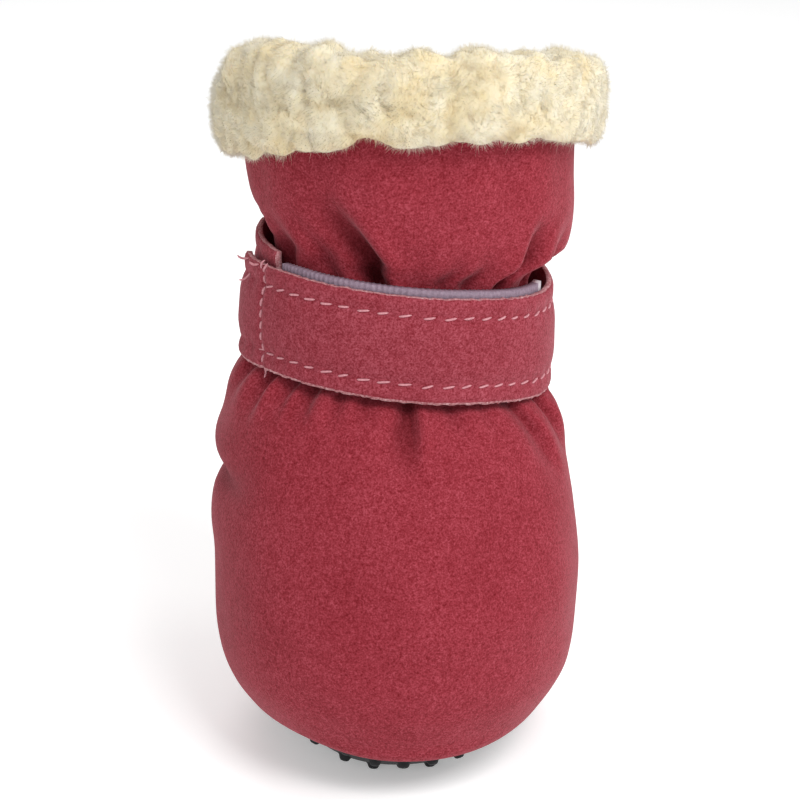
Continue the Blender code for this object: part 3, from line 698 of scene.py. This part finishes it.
def upper_sides(azimuth, level, closed):
    """The upper's outer and inner face: joined up below the slit, and turned under along the sole."""
    outer = upper_outline(azimuth, level)
    seam = (outer[closed, 0] + outer[closed, -1]) / 2
    outer[closed, 0] = seam
    outer[closed, -1] = seam
    smooth = upper_outline(azimuth, level, detail=False) * 0.35 + outer * 0.65
    inner = outer - grid_normals(smooth) * WALL
    under = level[:, 0] < NOMINAL_RIM + TUCK_HEIGHT
    rim_x, rim_y = sole_outline(azimuth[0])
    way = unit(np.stack([rim_x / SOLE_WIDTH**2, rim_y / SOLE_LENGTH**2, 0 * rim_x], axis=-1))
    lift = (level[under, :1] - NOMINAL_RIM) / TUCK_HEIGHT
    inner[under] = np.stack([rim_x, rim_y, 0 * rim_x], axis=-1) + way * GAP
    inner[under, :, 2] = outer[under, :, 2] + 0.3 * (1 - lift)
    tuck = TUCK * (1 - np.sqrt(1 - (1 - lift) ** 2))
    outer[under] -= way * tuck[..., None]
    inner[closed, -1] = inner[closed, 0]
    return outer, inner


def add_upper():
    azimuth, level, closed = round_boot(upper_heights(), UPPER_COLUMNS + 1)
    rows, columns = level.shape
    half = rows * columns
    outer, inner = upper_sides(azimuth, level, closed)
    points = np.concatenate([outer.reshape(-1, 3), inner.reshape(-1, 3)])
    index = np.arange(half).reshape(rows, columns)
    slit = np.flatnonzero(~closed)[0] - 1
    edges = ((index[0], -1), (index[-1], 1), (index[slit:, 0], 1), (index[slit:, -1], -1))
    groups = [grid_faces(rows, columns), grid_faces(rows, columns, half, flip=True)]
    groups += [edge_faces(line, half)[:, ::turn] for line, turn in edges]
    marks = np.concatenate([np.full(len(g), mark) for g, mark in zip(groups, (0, 2, 0, 0, 1, 1))])
    upper = mesh_object("upper_suede", points, groups, (SUEDE, RAW_EDGE, FLEECE_DEEP), marks)
    # Painted shade for the folds: how deep the relief presses in, stored so the suede is darkened there.
    pressed = np.clip(-relief(azimuth, level) / 3.4, 0, 1) ** 1.2
    add_mark(upper, "crease", np.concatenate([pressed.reshape(-1), np.zeros(half)]))
    add_shade(upper, np.full(2 * half, 0.5))
    weld(upper)
    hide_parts("upper")


def weld(piece, distance=0.002):
    """Joins points that lie on each other, such as both sides of a seam."""
    work = bmesh.new()
    work.from_mesh(piece.data)
    bmesh.ops.remove_doubles(work, verts=work.verts, dist=distance * MM)
    work.to_mesh(piece.data)
    work.free()


# Fleece

CUFF_STATIONS = 330
CUFF_STEPS = 66
CUFF_WANDER = 0.9
SLOT_POINTS = 3  # the first points of the cuff's section, inside its slot
CUFF_HAIRS = 33000
HAIR_SINK = 0.2
LINING_ROWS, LINING_COLUMNS = 70, 170


def hairs(name, roots, ways, length, radius, material, seed, shade):
    """Fine straight hairs, each a closed spike of four triangles with its root under the surface."""
    draw = np.random.default_rng(seed)
    count = len(roots)
    length = length * draw.uniform(0.5, 1.3, (count, 1))
    radius = radius * draw.uniform(0.7, 1.3, (count, 1))
    way = unit(unit(ways) + draw.normal(0, 0.15, (count, 3)))
    side = unit(np.cross(way, draw.normal(size=(count, 3))))
    other = np.cross(way, side)
    root = roots - way * HAIR_SINK
    ring = [side * math.cos(a) + other * math.sin(a) for a in (0, 2 * math.pi / 3, 4 * math.pi / 3)]
    points = np.stack([*(root + r * radius for r in ring), root + way * length], axis=1).reshape(-1, 3)
    first = np.arange(count)[:, None] * 4
    tris = np.concatenate([first + np.array(t) for t in ((2, 1, 0), (0, 1, 3), (1, 2, 3), (2, 0, 3))])
    made = mesh_object(name, points, [tris], (material,))
    # Painted shade: each hair takes the fleece's painted shade at its root, and is painted 0.15 lighter at
    # its tip.
    add_shade(made, np.clip(np.repeat(shade, 4) + np.tile([0, 0, 0, 0.15], count), 0, 1))


def scatter(points, quads, values, count, seed):
    """Random places on quads, evenly by area, with their normals and values."""
    draw = np.random.default_rng(seed)
    a, b, c, d = (points[quads[:, k]] for k in range(4))
    cross = np.cross(c - a, d - b)
    area = np.linalg.norm(cross, axis=1) / 2
    pick = np.searchsorted(np.cumsum(area) / area.sum(), draw.random(count))
    pick = np.minimum(pick, len(quads) - 1)
    u, v = draw.random((2, count, 1))

    def across(table):
        p, q, r, s = (table[quads[pick, k]] for k in range(4))
        return p * (1 - u) * (1 - v) + q * u * (1 - v) + r * u * v + s * (1 - u) * v

    return across(points), unit(cross[pick]), across(values.reshape(-1, 1))[:, 0]


def swirl(points, size, seeds):
    """A smoothly wandering way for each point."""
    return np.stack([soft_noise(points, size, seed) for seed in seeds], axis=-1)


def lapped_pile():
    return COLLAR_SPREAD - (WALL + LEAN_SLACK) / 2 - 1.5 * GAP


def cuff_profile(azimuth, outer_pile, inner_pile, slot):
    """Control points of the cuff's section: out of the upper, and over its top edge."""
    wander = soft_noise(np.array([[azimuth * 0.45, 3.0, 0.5], [azimuth * 0.45, 9.0, 0.5]]), 3.4, 77)
    bulge = math.exp(-((turn_between(azimuth, BULGE_AZIMUTH) / BULGE_TURN) ** 2))
    crown = CUFF_CROWN * (0.55 + (CROWN_BULGE + 0.3) * bulge) + CUFF_WANDER * wander[0]
    toe = max(math.cos(math.radians(azimuth)), 0) ** 4
    hang = CUFF_HEIGHT - 0.9 * toe + CUFF_WANDER * wander[1]
    out_face, in_face = GAP, -WALL - LEAN_SLACK - GAP
    slot_top = blend(-hang + 1.3, GAP, slot)
    points = (
        (out_face, -hang + 1.2),
        (out_face, slot_top),
        (in_face, slot_top),
        (in_face, -CUFF_INSIDE + 1.0),
        (in_face - inner_pile * 0.45, -CUFF_INSIDE),
        (in_face - inner_pile * 0.9, -CUFF_INSIDE * 0.8),
        (in_face - inner_pile, -CUFF_INSIDE * 0.4),
        (in_face - inner_pile * 0.95, crown * 0.1),
        (in_face - inner_pile * 0.62, crown * 0.68),
        (-WALL * 0.6, crown),
        (out_face + outer_pile * 0.5, crown * 0.8),
        (out_face + outer_pile * 0.9, crown * 0.25),
        (out_face + outer_pile, -hang * 0.3),
        (out_face + outer_pile * 0.98, -hang * 0.76),
        (out_face + outer_pile * 0.62, -hang),
        (out_face, -hang + 1.2),
    )
    return np.array(points)


def fine_profile(control):
    """The section with its slot left sharp and the rest drawn as a smooth curve."""
    slot, rest = control[:SLOT_POINTS], control[SLOT_POINTS:]
    spans = np.linspace(0, len(rest) - 1, CUFF_STEPS)
    i = np.minimum(spans.astype(int), len(rest) - 2)
    t = (spans - i)[:, None]
    before = rest[np.maximum(i - 1, 0)]
    after = rest[np.minimum(i + 2, len(rest) - 1)]
    a, b = rest[i], rest[i + 1]
    square, cube = 2 * before - 5 * a + 4 * b - after, 3 * a - before - 3 * b + after
    smooth = 0.5 * (2 * a + (b - before) * t + square * t**2 + cube * t**3)
    return np.concatenate([slot, smooth])[:-1]


def cuff_stations():
    """Azimuth, openness of the slot and size of each section, with round ends, and the lap's angle."""
    lap = float(lap_angle(np.array(TOP)))
    radius = FOOT_LENGTH * SECTIONS[-1].back
    clear, end = math.degrees(GAP / radius), math.degrees(CUFF_END / radius)
    half = 180 + lap
    round_upper = [(a, 1.0, 1.0) for a in np.linspace(-half - clear, half + clear, CUFF_STATIONS)]
    past = [(half + clear * 1.5, 0.0, 1.0)]
    for share in (0.3, 0.5, 0.68, 0.82, 0.92, 0.98, 1.0):
        past.append((half + end * share, 0.0, math.sqrt(max(0.02, 1 - share**2.4))))
    before = [(-a, slot, size) for a, slot, size in reversed(past)]
    return before + round_upper + past, lap


def cuff_rings():
    """The cuff's plain sections, and how freely the fleece stands up on each."""
    stations, lap = cuff_stations()
    rings, free = [], []
    for azimuth, slot, size in stations:
        pressed = float(ease((abs(azimuth) - (155 - lap)) / 18))
        outer_pile = blend(PILE, lapped_pile(), pressed if azimuth > 0 else 0)
        inner_pile = blend(PILE, lapped_pile(), pressed if azimuth < 0 else 0)
        profile = fine_profile(cuff_profile(azimuth, outer_pile, inner_pile, slot))
        profile = blend(profile.mean(axis=0), profile, size)
        out, over = profile[:, 0], profile[:, 1]
        height = TOP + np.minimum(over, 0)
        turn = np.full(len(out), azimuth)
        ring = wrap(turn, height, out + flap_step(turn, height))
        ring[:, 2] += np.maximum(over, 0)
        rings.append(ring)
        free.append((1 - 0.75 * pressed) * size)
    return np.array(rings), np.array(free)


def add_cuff():
    points, free = cuff_rings()
    count, steps = points.shape[:2]
    around = np.roll(points, -1, axis=1) - np.roll(points, 1, axis=1)
    normals = unit(np.cross(np.gradient(points, axis=0), around))
    toe = count // 2, SLOT_POINTS + CUFF_STEPS * 2 // 3
    if np.dot(normals[toe][:2], points[toe][:2]) < 0:
        normals = -normals
    shown = np.zeros(steps)
    shown[SLOT_POINTS:] = np.sin(np.pi * np.linspace(0, 1, steps - SLOT_POINTS)) ** 0.5 * 1.15
    shown = np.minimum(1, shown)
    height, small, _ = curls(points)
    stand = (1.9 * height - 0.9 + 0.9 * (small - 0.4)) * (shown[None, :] * free[:, None])
    points = points + normals * stand[..., None]
    # Painted shade: darker and yellower in the hollows between clumps and towards both edges where the fleece
    # meets the upper, pale on the clumps.
    shade = np.clip(0.22 + 0.7 * height + 0.14 * small, 0, 1) * blend(0.55, 1.0, shown)[None, :]
    flat, value = points.reshape(-1, 3), shade.reshape(-1)
    (quads,) = outward(flat, [grid_faces(count, steps, closed=True)])
    caps = [np.array([np.arange(steps)]), np.array([np.arange(steps)[::-1] + (count - 1) * steps])]
    cuff = mesh_object("fleece_cuff_pile", flat, [quads, *caps], (FLEECE,))
    add_shade(cuff, value)
    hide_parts("fleece_cuff")
    step = quads % steps
    hairy = quads[((step >= SLOT_POINTS + 2) & (step < steps - 3)).all(axis=1)]
    add_cuff_hairs(flat, hairy, value)


def add_cuff_hairs(flat, quads, value):
    for k in range(3):
        roots, normal, root_shade = scatter(flat, quads, value, CUFF_HAIRS, 40 + k)
        way = normal * 0.65 + curls(roots)[2] * 0.8 + swirl(roots, 2.6, (60, 61, 62)) * 1.3
        hairs(f"cuff_pile_{k}", roots, way, 1.15, 0.028, FLEECE, 50 + k, root_shade)
    roots, normal, root_shade = scatter(flat, quads, value, 7000, 44)
    way = normal * 0.8 + swirl(roots, 2.2, (65, 66, 67))
    hairs("cuff_wisps", roots, way, 1.9, 0.024, FLEECE, 54, root_shade)


def add_slit_fleece():
    """The lining's pile, which shows as a soft line along the outer flap's end."""
    height = np.linspace(SLIT_BOTTOM + 1.0, TOP - CUFF_HEIGHT + 6.0, 170)
    azimuth = -(180 + lap_angle(height))
    line = wrap(azimuth, height, flap_step(azimuth, height) + relief(azimuth, height) - WALL * 0.62)
    roll, quads, sides = capsule(line, 0.8, 12)
    made = joined("slit_fleece", [(roll, quads, sides)], (FLEECE,))
    # Painted shade: darker and yellower between the roll's lumps, paler on them.
    shade = 0.25 + 0.6 * lumps(roll, 2.6, 24)[0]
    add_shade(made, shade)
    roots, normal, root_shade = scatter(roll, outward(roll, [quads])[0], shade, 3600, 45)
    way = normal * 0.8 + swirl(roots, 1.4, (75, 76, 77)) * 0.9
    hairs("slit_pile", roots, way, 1.0, 0.034, FLEECE, 55, root_shade)


def curls(points):
    """The sherpa's clumps and the smaller curls on them, from 0 to 1, and which way its pile leans."""
    warped = points + swirl(points, 4, (9, 59, 60)) * 1.5
    big, away = lumps(warped, 6.8, 21)
    small, small_away = lumps(points + soft_noise(points, 1.7, 10)[..., None] * 0.5, 2.4, 22)
    merged = ease((soft_noise(points, 7, 23) + 0.35) / 0.9)
    height = blend(big, np.maximum(big, 0.62), merged)
    return height, small, away * 0.6 + small_away * 0.5


def add_lining():
    """Fleece on the inside of the upper, from the footbed to the cuff, seen through the collar."""
    heights = np.linspace(NOMINAL_RIM + 4, TOP - CUFF_INSIDE + 2, LINING_ROWS)
    azimuth, level, closed = round_boot(heights, LINING_COLUMNS + 1)
    pressed = np.minimum(relief(azimuth, level), 0)
    base = wrap(azimuth, level, flap_step(azimuth, level) + pressed * 1.2 - WALL - 0.5)
    height, _ = lumps(base, 3.6, 31)
    skin = base - grid_normals(base) * (0.35 + 0.9 * height)[..., None]
    for table in (base, skin):
        table[closed, -1] = table[closed, 0]
    flat, groups = two_sided(base, skin)
    lining = mesh_object("fleece_lining", flat, groups, (FLEECE_DEEP,))
    # Painted shade: darker and yellower in the hollows between the lining's lumps, paler on them.
    value = np.tile(height.reshape(-1), 2)
    add_shade(lining, value)
    roots, normal, root_shade = scatter(flat, groups[1], value, 14000, 71)
    way = normal * 0.6 + lumps(roots, 3.6, 31)[1] * 0.8
    hairs("lining_pile", roots, way, 1.0, 0.045, FLEECE_DEEP, 72, root_shade)


# Sole

STUD_SIDES = 14
# A stud's rings: how far out of the sheet, in a profile 0.9 mm high, and how wide
STUD_PROFILE = 0.9
STUD_RINGS = (
    (-0.5, 1.15),
    (0.02, 1.12),
    (0.12, 0.98),
    (0.38, 0.86),
    (0.64, 0.74),
    (0.8, 0.6),
    (0.88, 0.42),
    (0.9, 0.2),
)
INSOLE_COLUMNS = 140


def sole_pad(name, columns, shares, lower, upper, material):
    """A closed pad between two surfaces, each a function of azimuth and share, and its top's points."""
    azimuth = np.linspace(0, 360, columns, endpoint=False)
    low = np.stack([lower(azimuth, np.full(columns, s)) for s in shares])
    high = np.stack([upper(azimuth, np.full(columns, s)) for s in shares])
    rows = len(shares)
    half = rows * columns
    flat = np.concatenate([low.reshape(-1, 3), high.reshape(-1, 3)])
    rim = np.arange(columns + 1) % columns + (rows - 1) * columns
    caps = [np.array([np.arange(columns)]), np.array([np.arange(columns)[::-1] + half])]
    under = grid_faces(rows, columns, 0, closed=True, flip=True)
    over = grid_faces(rows, columns, half, closed=True)
    return mesh_object(name, flat, [under, over, edge_faces(rim, half), *caps], (material,)), high


def sole_point(azimuth, share, over):
    x, y = sole_outline(azimuth, share)
    return np.stack([x, y, sole_height(azimuth, share, over)], axis=-1)


def sole_share(x, y):
    power = SOLE_SQUARENESS / 2
    across = np.sign(x) * (2 * abs(x) / SOLE_WIDTH) ** power
    along = np.sign(-y) * (2 * abs(y) / SOLE_LENGTH) ** power
    return math.degrees(math.atan2(across, along)), math.hypot(across, along) ** (1 / power)


def add_outsole():
    rim = (0.965, 0.985, 0.997, 1.0)
    shares = np.concatenate([np.linspace(0.02, 0.55, 8), np.linspace(0.6, 0.94, 14), rim])

    def lower(azimuth, share):
        return sole_point(azimuth, share, 0.35 * ease((share - 0.94) / 0.06) ** 2)

    def upper(azimuth, share):
        return sole_point(azimuth, share, SOLE_THICKNESS - 0.2 * ease((share - 0.96) / 0.04) ** 2)

    sheet, _ = sole_pad("rubber_sole", 160, shares, lower, upper, RUBBER)
    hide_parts("outsole")


def add_studs():
    """Rows of studs on the sole, joined in one mesh."""
    points, quads = [], []
    rows = math.ceil(SOLE_LENGTH / STUD_PITCH / 2)
    for row in range(-rows, rows + 1):
        for column in range(-rows, rows + 1):
            x, y = column * STUD_PITCH, row * STUD_PITCH
            azimuth, share = sole_share(x, y)
            if share < STUD_LIMIT:
                start = len(points) * len(STUD_RINGS) * STUD_SIDES
                quads.append(grid_faces(len(STUD_RINGS), STUD_SIDES, start, flip=True, closed=True))
                points.append(stud_dome(x, y, azimuth, share))
    flat = np.concatenate(points)
    ends = [np.arange(STUD_SIDES) + k * len(points[0]) for k in range(len(points))]
    tips = [e[::-1] + len(points[0]) - STUD_SIDES for e in ends]
    studs = mesh_object("rubber_studs", flat, [*quads, np.array(ends), np.array(tips)], (RUBBER,))


def stud_dome(x, y, azimuth, share):
    """One moulded stud: a soft dome on a wider foot, square to the sole's underside."""
    here = float(sole_height(azimuth, share, 0))
    away = np.array([x, y]) / max(math.hypot(x, y), 1e-6)
    run = 0.02 * math.hypot(*sole_outline(azimuth))
    slope = (float(sole_height(azimuth, share + 0.02, 0)) - here) / max(run, 1e-6)
    down = unit(np.array([*away * slope, -1.0]))
    across = unit(np.cross(down, (0.0, 1.0, 0.0)))
    along = np.cross(down, across)
    angle = np.linspace(0, 2 * math.pi, STUD_SIDES, endpoint=False)[:, None]
    circle = across * np.cos(angle) + along * np.sin(angle)
    root = np.array([x, y, here])
    rings = [root + down * depth * STUD_HEIGHT / STUD_PROFILE + circle * wide for depth, wide in STUD_RINGS]
    return np.concatenate(rings)


def add_insole():
    low_z = SOLE_THICKNESS + GAP

    def lower(azimuth, share):
        return sole_point(azimuth, share * 0.985, low_z)

    def upper(azimuth, share):
        points = lower(azimuth, share)
        flat = sole_height(0, 0, low_z) + INSOLE_THICKNESS
        points[..., 2] = np.maximum(points[..., 2] + 0.6, flat)
        height, _ = lumps(points, 3.6, 33)
        points[..., 2] += (height - 0.5) * 0.8 * (1 - ease((share - 0.9) / 0.1))
        return points

    shares = np.concatenate([np.linspace(0.02, 0.9, 40), [0.95, 1.0]])
    pad, high = sole_pad("fleece_insole", INSOLE_COLUMNS, shares, lower, upper, FLEECE_DEEP)
    add_shade(pad, np.full(len(pad.data.vertices), 0.5))
    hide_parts("insole")
    flat = high.reshape(-1, 3)
    quads = grid_faces(len(shares), INSOLE_COLUMNS, closed=True)
    roots, normal, root_shade = scatter(flat, quads, np.full(len(flat), 0.5), 7000, 81)
    normal *= np.sign(normal[:, 2:3])
    way = normal * 0.6 + lumps(roots, 3.6, 33)[1] * 0.8
    hairs("insole_pile", roots, way, 1.0, 0.045, FLEECE_DEEP, 82, root_shade)


# Strap

STRAP_ALONG = 480
STRAP_ACROSS = 24
TAB_HANG = 1.3  # how far the strap's free end sags
SAG_RIGHT = 1.1
SAG_LEFT = 0.3
ANKLE_GIRTH = 0.40  # millimetres round the strap for each degree
STITCH_PITCH = 2.9
STITCH_INSET = 2.7
STITCH_SHARE = np.linspace(0, 1, 7)
TAB_STITCH = -64
TAPE_ALONG = 420
TAPE_ACROSS = 14
TAPE_RIB = 0.85
TAPE_END_ROWS = 16
# Loose ends of thread at the tab's corners: azimuth, height on the strap, way and radius
THREAD_TAILS = (
    (-80, 15.2, (-1.6, -0.6, 1.0), 0.17),
    (-77, 13.4, (-1.9, -0.8, -0.5), 0.15),
    (-69, 15.3, (-1.2, -0.7, 0.9), 0.17),
    (-66, 14.9, (0.8, -0.6, 1.3), 0.15),
    (-64, 0.7, (-0.3, -0.7, -1.8), 0.17),
    (-62, 0.9, (0.7, -0.6, -1.2), 0.14),
)


def ground(azimuth):
    turn = np.minimum(np.abs(azimuth), np.abs(360 - azimuth))
    return GATHER_DEPTH + GAP + ROOT_STANDOFF + ANKLE_SPREAD * near_back(turn)


def strap_standoff(azimuth):
    front = ease((TAPE_AZIMUTHS[0] + 30 - azimuth) / 26)
    slack = LOOP_SLACK * np.exp(-(((azimuth - TAPE_AZIMUTHS[0] - 20) / 30) ** 2)) * (1 - front)
    lift = TAB_LIFT * ease((-62 - azimuth) / 24)
    on_tape = ground(azimuth) + max(TAPE_THICKNESS, STRAP_THICKNESS) + GAP
    return blend(ground(azimuth), on_tape, front) + slack + lift


def side_sag(azimuth):
    """How far the strap dips on its way round each side of the ankle."""
    right = SAG_RIGHT * ease((azimuth - 15) / 60) * (1 - ease((azimuth - 110) / 60))
    return right + SAG_LEFT * ease((-15 - azimuth) / 45)


def strap_low(azimuth):
    hang = TAB_HANG * ease((-42 - azimuth) / 44)
    return FOOT_HEIGHT + STRAP_CLIMB * ease((azimuth - 90) / 180) - hang - side_sag(azimuth)


def band_point(azimuth, height, out):
    """A point on the straight line from a band's lower edge to its upper edge, that far out."""
    low = strap_low(azimuth)
    share = (height - low) / STRAP_WIDTH
    bottom = wrap(azimuth, low, out, np.maximum(low, FOOT_HEIGHT + 0.8 - side_sag(azimuth)))
    top = wrap(azimuth, low + STRAP_WIDTH, out)
    return blend(bottom, top, share[..., None])


def strap_swell(azimuth, across):
    """The strap's outer face: crowned between its stitch lines and pulled in at each stitch."""
    edge = np.minimum(across, STRAP_WIDTH - across)
    crown = 0.32 * ease((edge - STITCH_INSET) / 3)
    channel = np.exp(-(((edge - STITCH_INSET) / 0.55) ** 2))
    beat = np.cos(2 * math.pi * azimuth * ANKLE_GIRTH / STITCH_PITCH)
    rows = 0.5 * (1 + beat) * np.exp(-(((edge - STITCH_INSET) / 1.5) ** 2))
    tab_line = np.exp(-(((azimuth - TAB_STITCH) * ANKLE_GIRTH / 0.6) ** 2))
    roll = 0.35 * ease((0.9 - edge) / 0.9) ** 2
    return crown - 0.26 * channel - 0.14 * rows - 0.25 * tab_line - roll


def strap_wave(azimuth):
    return 0.22 * np.sin(azimuth * 0.11 + 0.6) * ease((90 - np.abs(azimuth)) / 40) * 0.4


def add_strap():
    azimuth = np.linspace(STRAP_ROOT_AZIMUTH, STRAP_TIP_AZIMUTH, STRAP_ALONG)[:, None]
    across = STRAP_WIDTH * (1 - np.cos(np.linspace(0, math.pi, STRAP_ACROSS))) / 2
    across = blend(across, np.linspace(0, STRAP_WIDTH, STRAP_ACROSS), 0.6)[None, :]
    azimuth, across = np.broadcast_arrays(azimuth, across)
    upper_half = across > STRAP_WIDTH / 2
    ragged = soft_noise(np.stack([azimuth * 0.9, upper_half * 9.0, azimuth * 0.0], -1), 1.2, 5)
    edge = np.minimum(across, STRAP_WIDTH - across)
    fringe = np.exp(-edge / 0.4) * ragged * 0.12 * np.sign(across - STRAP_WIDTH / 2)
    height = strap_low(azimuth) + across + fringe
    curl = 1.0 * ease((STRAP_TIP_AZIMUTH + 30 - azimuth) / 30) * (1 - 0.8 * across / STRAP_WIDTH)
    out = strap_standoff(azimuth) + strap_wave(azimuth) + curl
    inner = band_point(azimuth, height, out)
    outer = band_point(azimuth, height, out + STRAP_THICKNESS + strap_swell(azimuth, across))
    flat, groups = two_sided(inner, outer)
    bare = np.tile(np.arange(STRAP_ACROSS - 1) == 0, STRAP_ALONG - 1)
    marks = np.concatenate([np.zeros(len(groups[0])), bare, np.ones(len(groups[2]))])
    strap = mesh_object("strap_suede_band", flat, groups, (STRAP_SUEDE, RAW_EDGE), marks)
    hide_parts("strap")


def capsule(points, radius, sides=8):
    """A tube round a line of points, pinched at both ends, as (points, quads, sides)."""
    points = np.asarray(points)
    way = unit(np.gradient(points, axis=0))
    side = unit(np.cross(way, np.array([0.13, 0.21, 0.97])))
    other = np.cross(way, side)
    part = np.linspace(-1, 1, len(points))
    size = radius * np.maximum(0.25, np.sqrt(np.clip(1 - np.abs(part) ** 4, 0, 1)))
    angle = np.linspace(0, 2 * math.pi, sides, endpoint=False)
    ring = side[:, None] * np.cos(angle)[None, :, None] + other[:, None] * np.sin(angle)[None, :, None]
    tube = (points[:, None] + ring * size[:, None, None]).reshape(-1, 3)
    return tube, grid_faces(len(points), sides, closed=True), sides


def joined(name, parts, materials):
    """One object from many small closed tubes, whose ends are capped."""
    points, quads, ends, start = [], [], {}, 0
    for part_points, part_quads, sides in parts:
        points.append(part_points)
        quads.append(part_quads + start)
        count = len(part_points)
        ring = np.arange(sides)
        ends.setdefault(sides, []).extend([ring[::-1] + start, ring + start + count - sides])
        start += count
    caps = [np.array(rings) for rings in ends.values()]
    groups = [np.concatenate(quads), *caps]
    made = mesh_object(name, np.concatenate(points), groups, materials)
    return made


def strap_face(azimuth, across, proud=0.0):
    """Points on the strap's outer face, or this far proud of it."""
    azimuth, across = np.broadcast_arrays(np.asarray(azimuth, float), np.asarray(across, float))
    out = strap_standoff(azimuth) + STRAP_THICKNESS + strap_swell(azimuth, across) + proud
    return band_point(azimuth, strap_low(azimuth) + across, out + strap_wave(azimuth))


def stitch(azimuth, across, rise, sink, radius):
    """One stitch: a short thread that arches out of the suede."""
    proud = rise * np.sin(math.pi * STITCH_SHARE) ** 0.7 - sink
    return capsule(strap_face(azimuth, across, proud), radius)


def add_stitches():
    parts = []
    draw = np.random.default_rng(12)
    step = STITCH_PITCH / ANKLE_GIRTH
    for inset, first in ((STITCH_INSET, STRAP_TIP_AZIMUTH + 3), (STRAP_WIDTH - STITCH_INSET, TAB_STITCH + 2)):
        for start in np.arange(first, STRAP_ROOT_AZIMUTH - 40, step):
            azimuth = start + STITCH_SHARE * (step * 0.66 * draw.uniform(0.85, 1.1))
            across = inset + (STITCH_SHARE - 0.5) * draw.uniform(0.15, 0.5) + draw.uniform(-0.08, 0.08)
            parts.append(stitch(azimuth, across, 0.20, 0.05, 0.16))
    for start in np.arange(0.9, STRAP_WIDTH - 0.8, 1.7):
        azimuth = TAB_STITCH + draw.uniform(-0.3, 0.3) + (STITCH_SHARE - 0.5) * 0.9
        parts.append(stitch(azimuth, start + STITCH_SHARE * 1.35, 0.22, 0.04, 0.21))
    joined("strap_stitches", parts, (THREAD,))


def add_thread_ends():
    parts = []
    share = np.linspace(0, 1, 9)[:, None]
    for azimuth, across, way, radius in THREAD_TAILS:
        bend = np.array([-way[2], 0.0, way[0]]) * 0.3
        line = strap_face(azimuth, across) + np.array(way) * share + bend * np.sin(share * 2.4)
        parts.append(capsule(line, radius))
    joined("thread_ends", parts, (THREAD,))


def add_hook_tape():
    """The tape's ribbed web, with its cut end whitish."""
    azimuth = np.linspace(*TAPE_AZIMUTHS, TAPE_ALONG)[:, None]
    across = np.linspace(0, TAPE_WIDTH, TAPE_ACROSS)[None, :]
    azimuth, across = np.broadcast_arrays(azimuth, across)
    height = strap_low(azimuth) + STRAP_WIDTH + TAPE_PROUD - TAPE_WIDTH + across
    rib = 0.5 * (1 + np.cos(2 * math.pi * azimuth * ANKLE_GIRTH / TAPE_RIB))
    inner = band_point(azimuth, height, ground(azimuth) + 0.22 * rib)
    outer = band_point(azimuth, height, ground(azimuth) + TAPE_THICKNESS - 0.12 * rib)
    flat, groups = two_sided(inner, outer)
    rows = [(quads % azimuth.size).max(axis=1) // TAPE_ACROSS for quads in groups]
    marks = np.concatenate(rows) < TAPE_END_ROWS
    tape = mesh_object("hook_tape_web", flat, groups, (TAPE, TAPE_EDGE), marks)
    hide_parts("hook_tape")


# Stage

FLOOR_REACH = 4.0  # metres
# Area lights: name, place, width and power, the places and widths in mm
LIGHTS = (
    ("key", (190, -320, 490), 260, 2.2),
    ("fill", (-360, -300, 330), 320, 0.35),
    ("side", (430, -40, 210), 220, 0.45),
    ("back", (-60, 380, 420), 300, 0.8),
)
LIGHT_AIM = (0, 0, 50)


def add_floor():
    mesh = bpy.data.meshes.new("floor")
    corners = ((-1, -1), (1, -1), (1, 1), (-1, 1))
    mesh.from_pydata([(x * FLOOR_REACH, y * FLOOR_REACH, 0) for x, y in corners], [], [(0, 1, 2, 3)])
    inputs = {
        "Base Color": (0.9, 0.9, 0.9, 1),
        "Roughness": 0.9,
        "Emission Color": (1, 1, 1, 1),
        "Emission Strength": 0.30,
    }
    mesh.materials.append(Surface("pale_floor").finish(inputs))
    floor = add_object("floor", mesh)


def add_lights():
    scene = bpy.context.scene
    scene.world = scene.world or bpy.data.worlds.new("studio")
    scene.world.use_nodes = True
    back = scene.world.node_tree.nodes["Background"]
    back.inputs["Color"].default_value = (1, 1, 1, 1)
    back.inputs["Strength"].default_value = 0.46
    scene.view_settings.view_transform = "Standard"
    for name, place, width, power in LIGHTS:
        light = bpy.data.lights.new(name, "AREA")
        light.size = width * MM
        light.energy = power
        lamp = add_object(name, light)
        lamp.location = Vector(place) * MM
        lamp.rotation_euler = (Vector(LIGHT_AIM) * MM - lamp.location).to_track_quat("-Z", "Y").to_euler()


def add_camera():
    azimuth, elevation = math.radians(CAMERA_AZIMUTH), math.radians(CAMERA_ELEVATION)
    level = math.cos(elevation)
    back_way = Vector((math.sin(azimuth) * level, -math.cos(azimuth) * level, math.sin(elevation)))
    right = Vector((math.cos(azimuth), math.sin(azimuth), 0))
    up = back_way.cross(right)
    target = Vector((0, 0, AIM_HEIGHT)) + right * PHOTO_SHIFT[0] + up * PHOTO_SHIFT[1]
    data = bpy.data.cameras.new("camera")
    data.sensor_width = SENSOR
    data.lens = CAMERA_LENS
    data.clip_start = 0.01
    camera = add_object("camera", data)
    camera.location = (target + back_way * CAMERA_DISTANCE) * MM
    camera.rotation_euler = back_way.to_track_quat("Z", "Y").to_euler()
    bpy.context.scene.camera = camera


add_floor()
add_lights()
add_camera()
add_outsole()
add_studs()
add_insole()
add_upper()
add_cuff()
add_slit_fleece()
add_lining()
add_strap()
add_stitches()
add_thread_ends()
add_hook_tape()
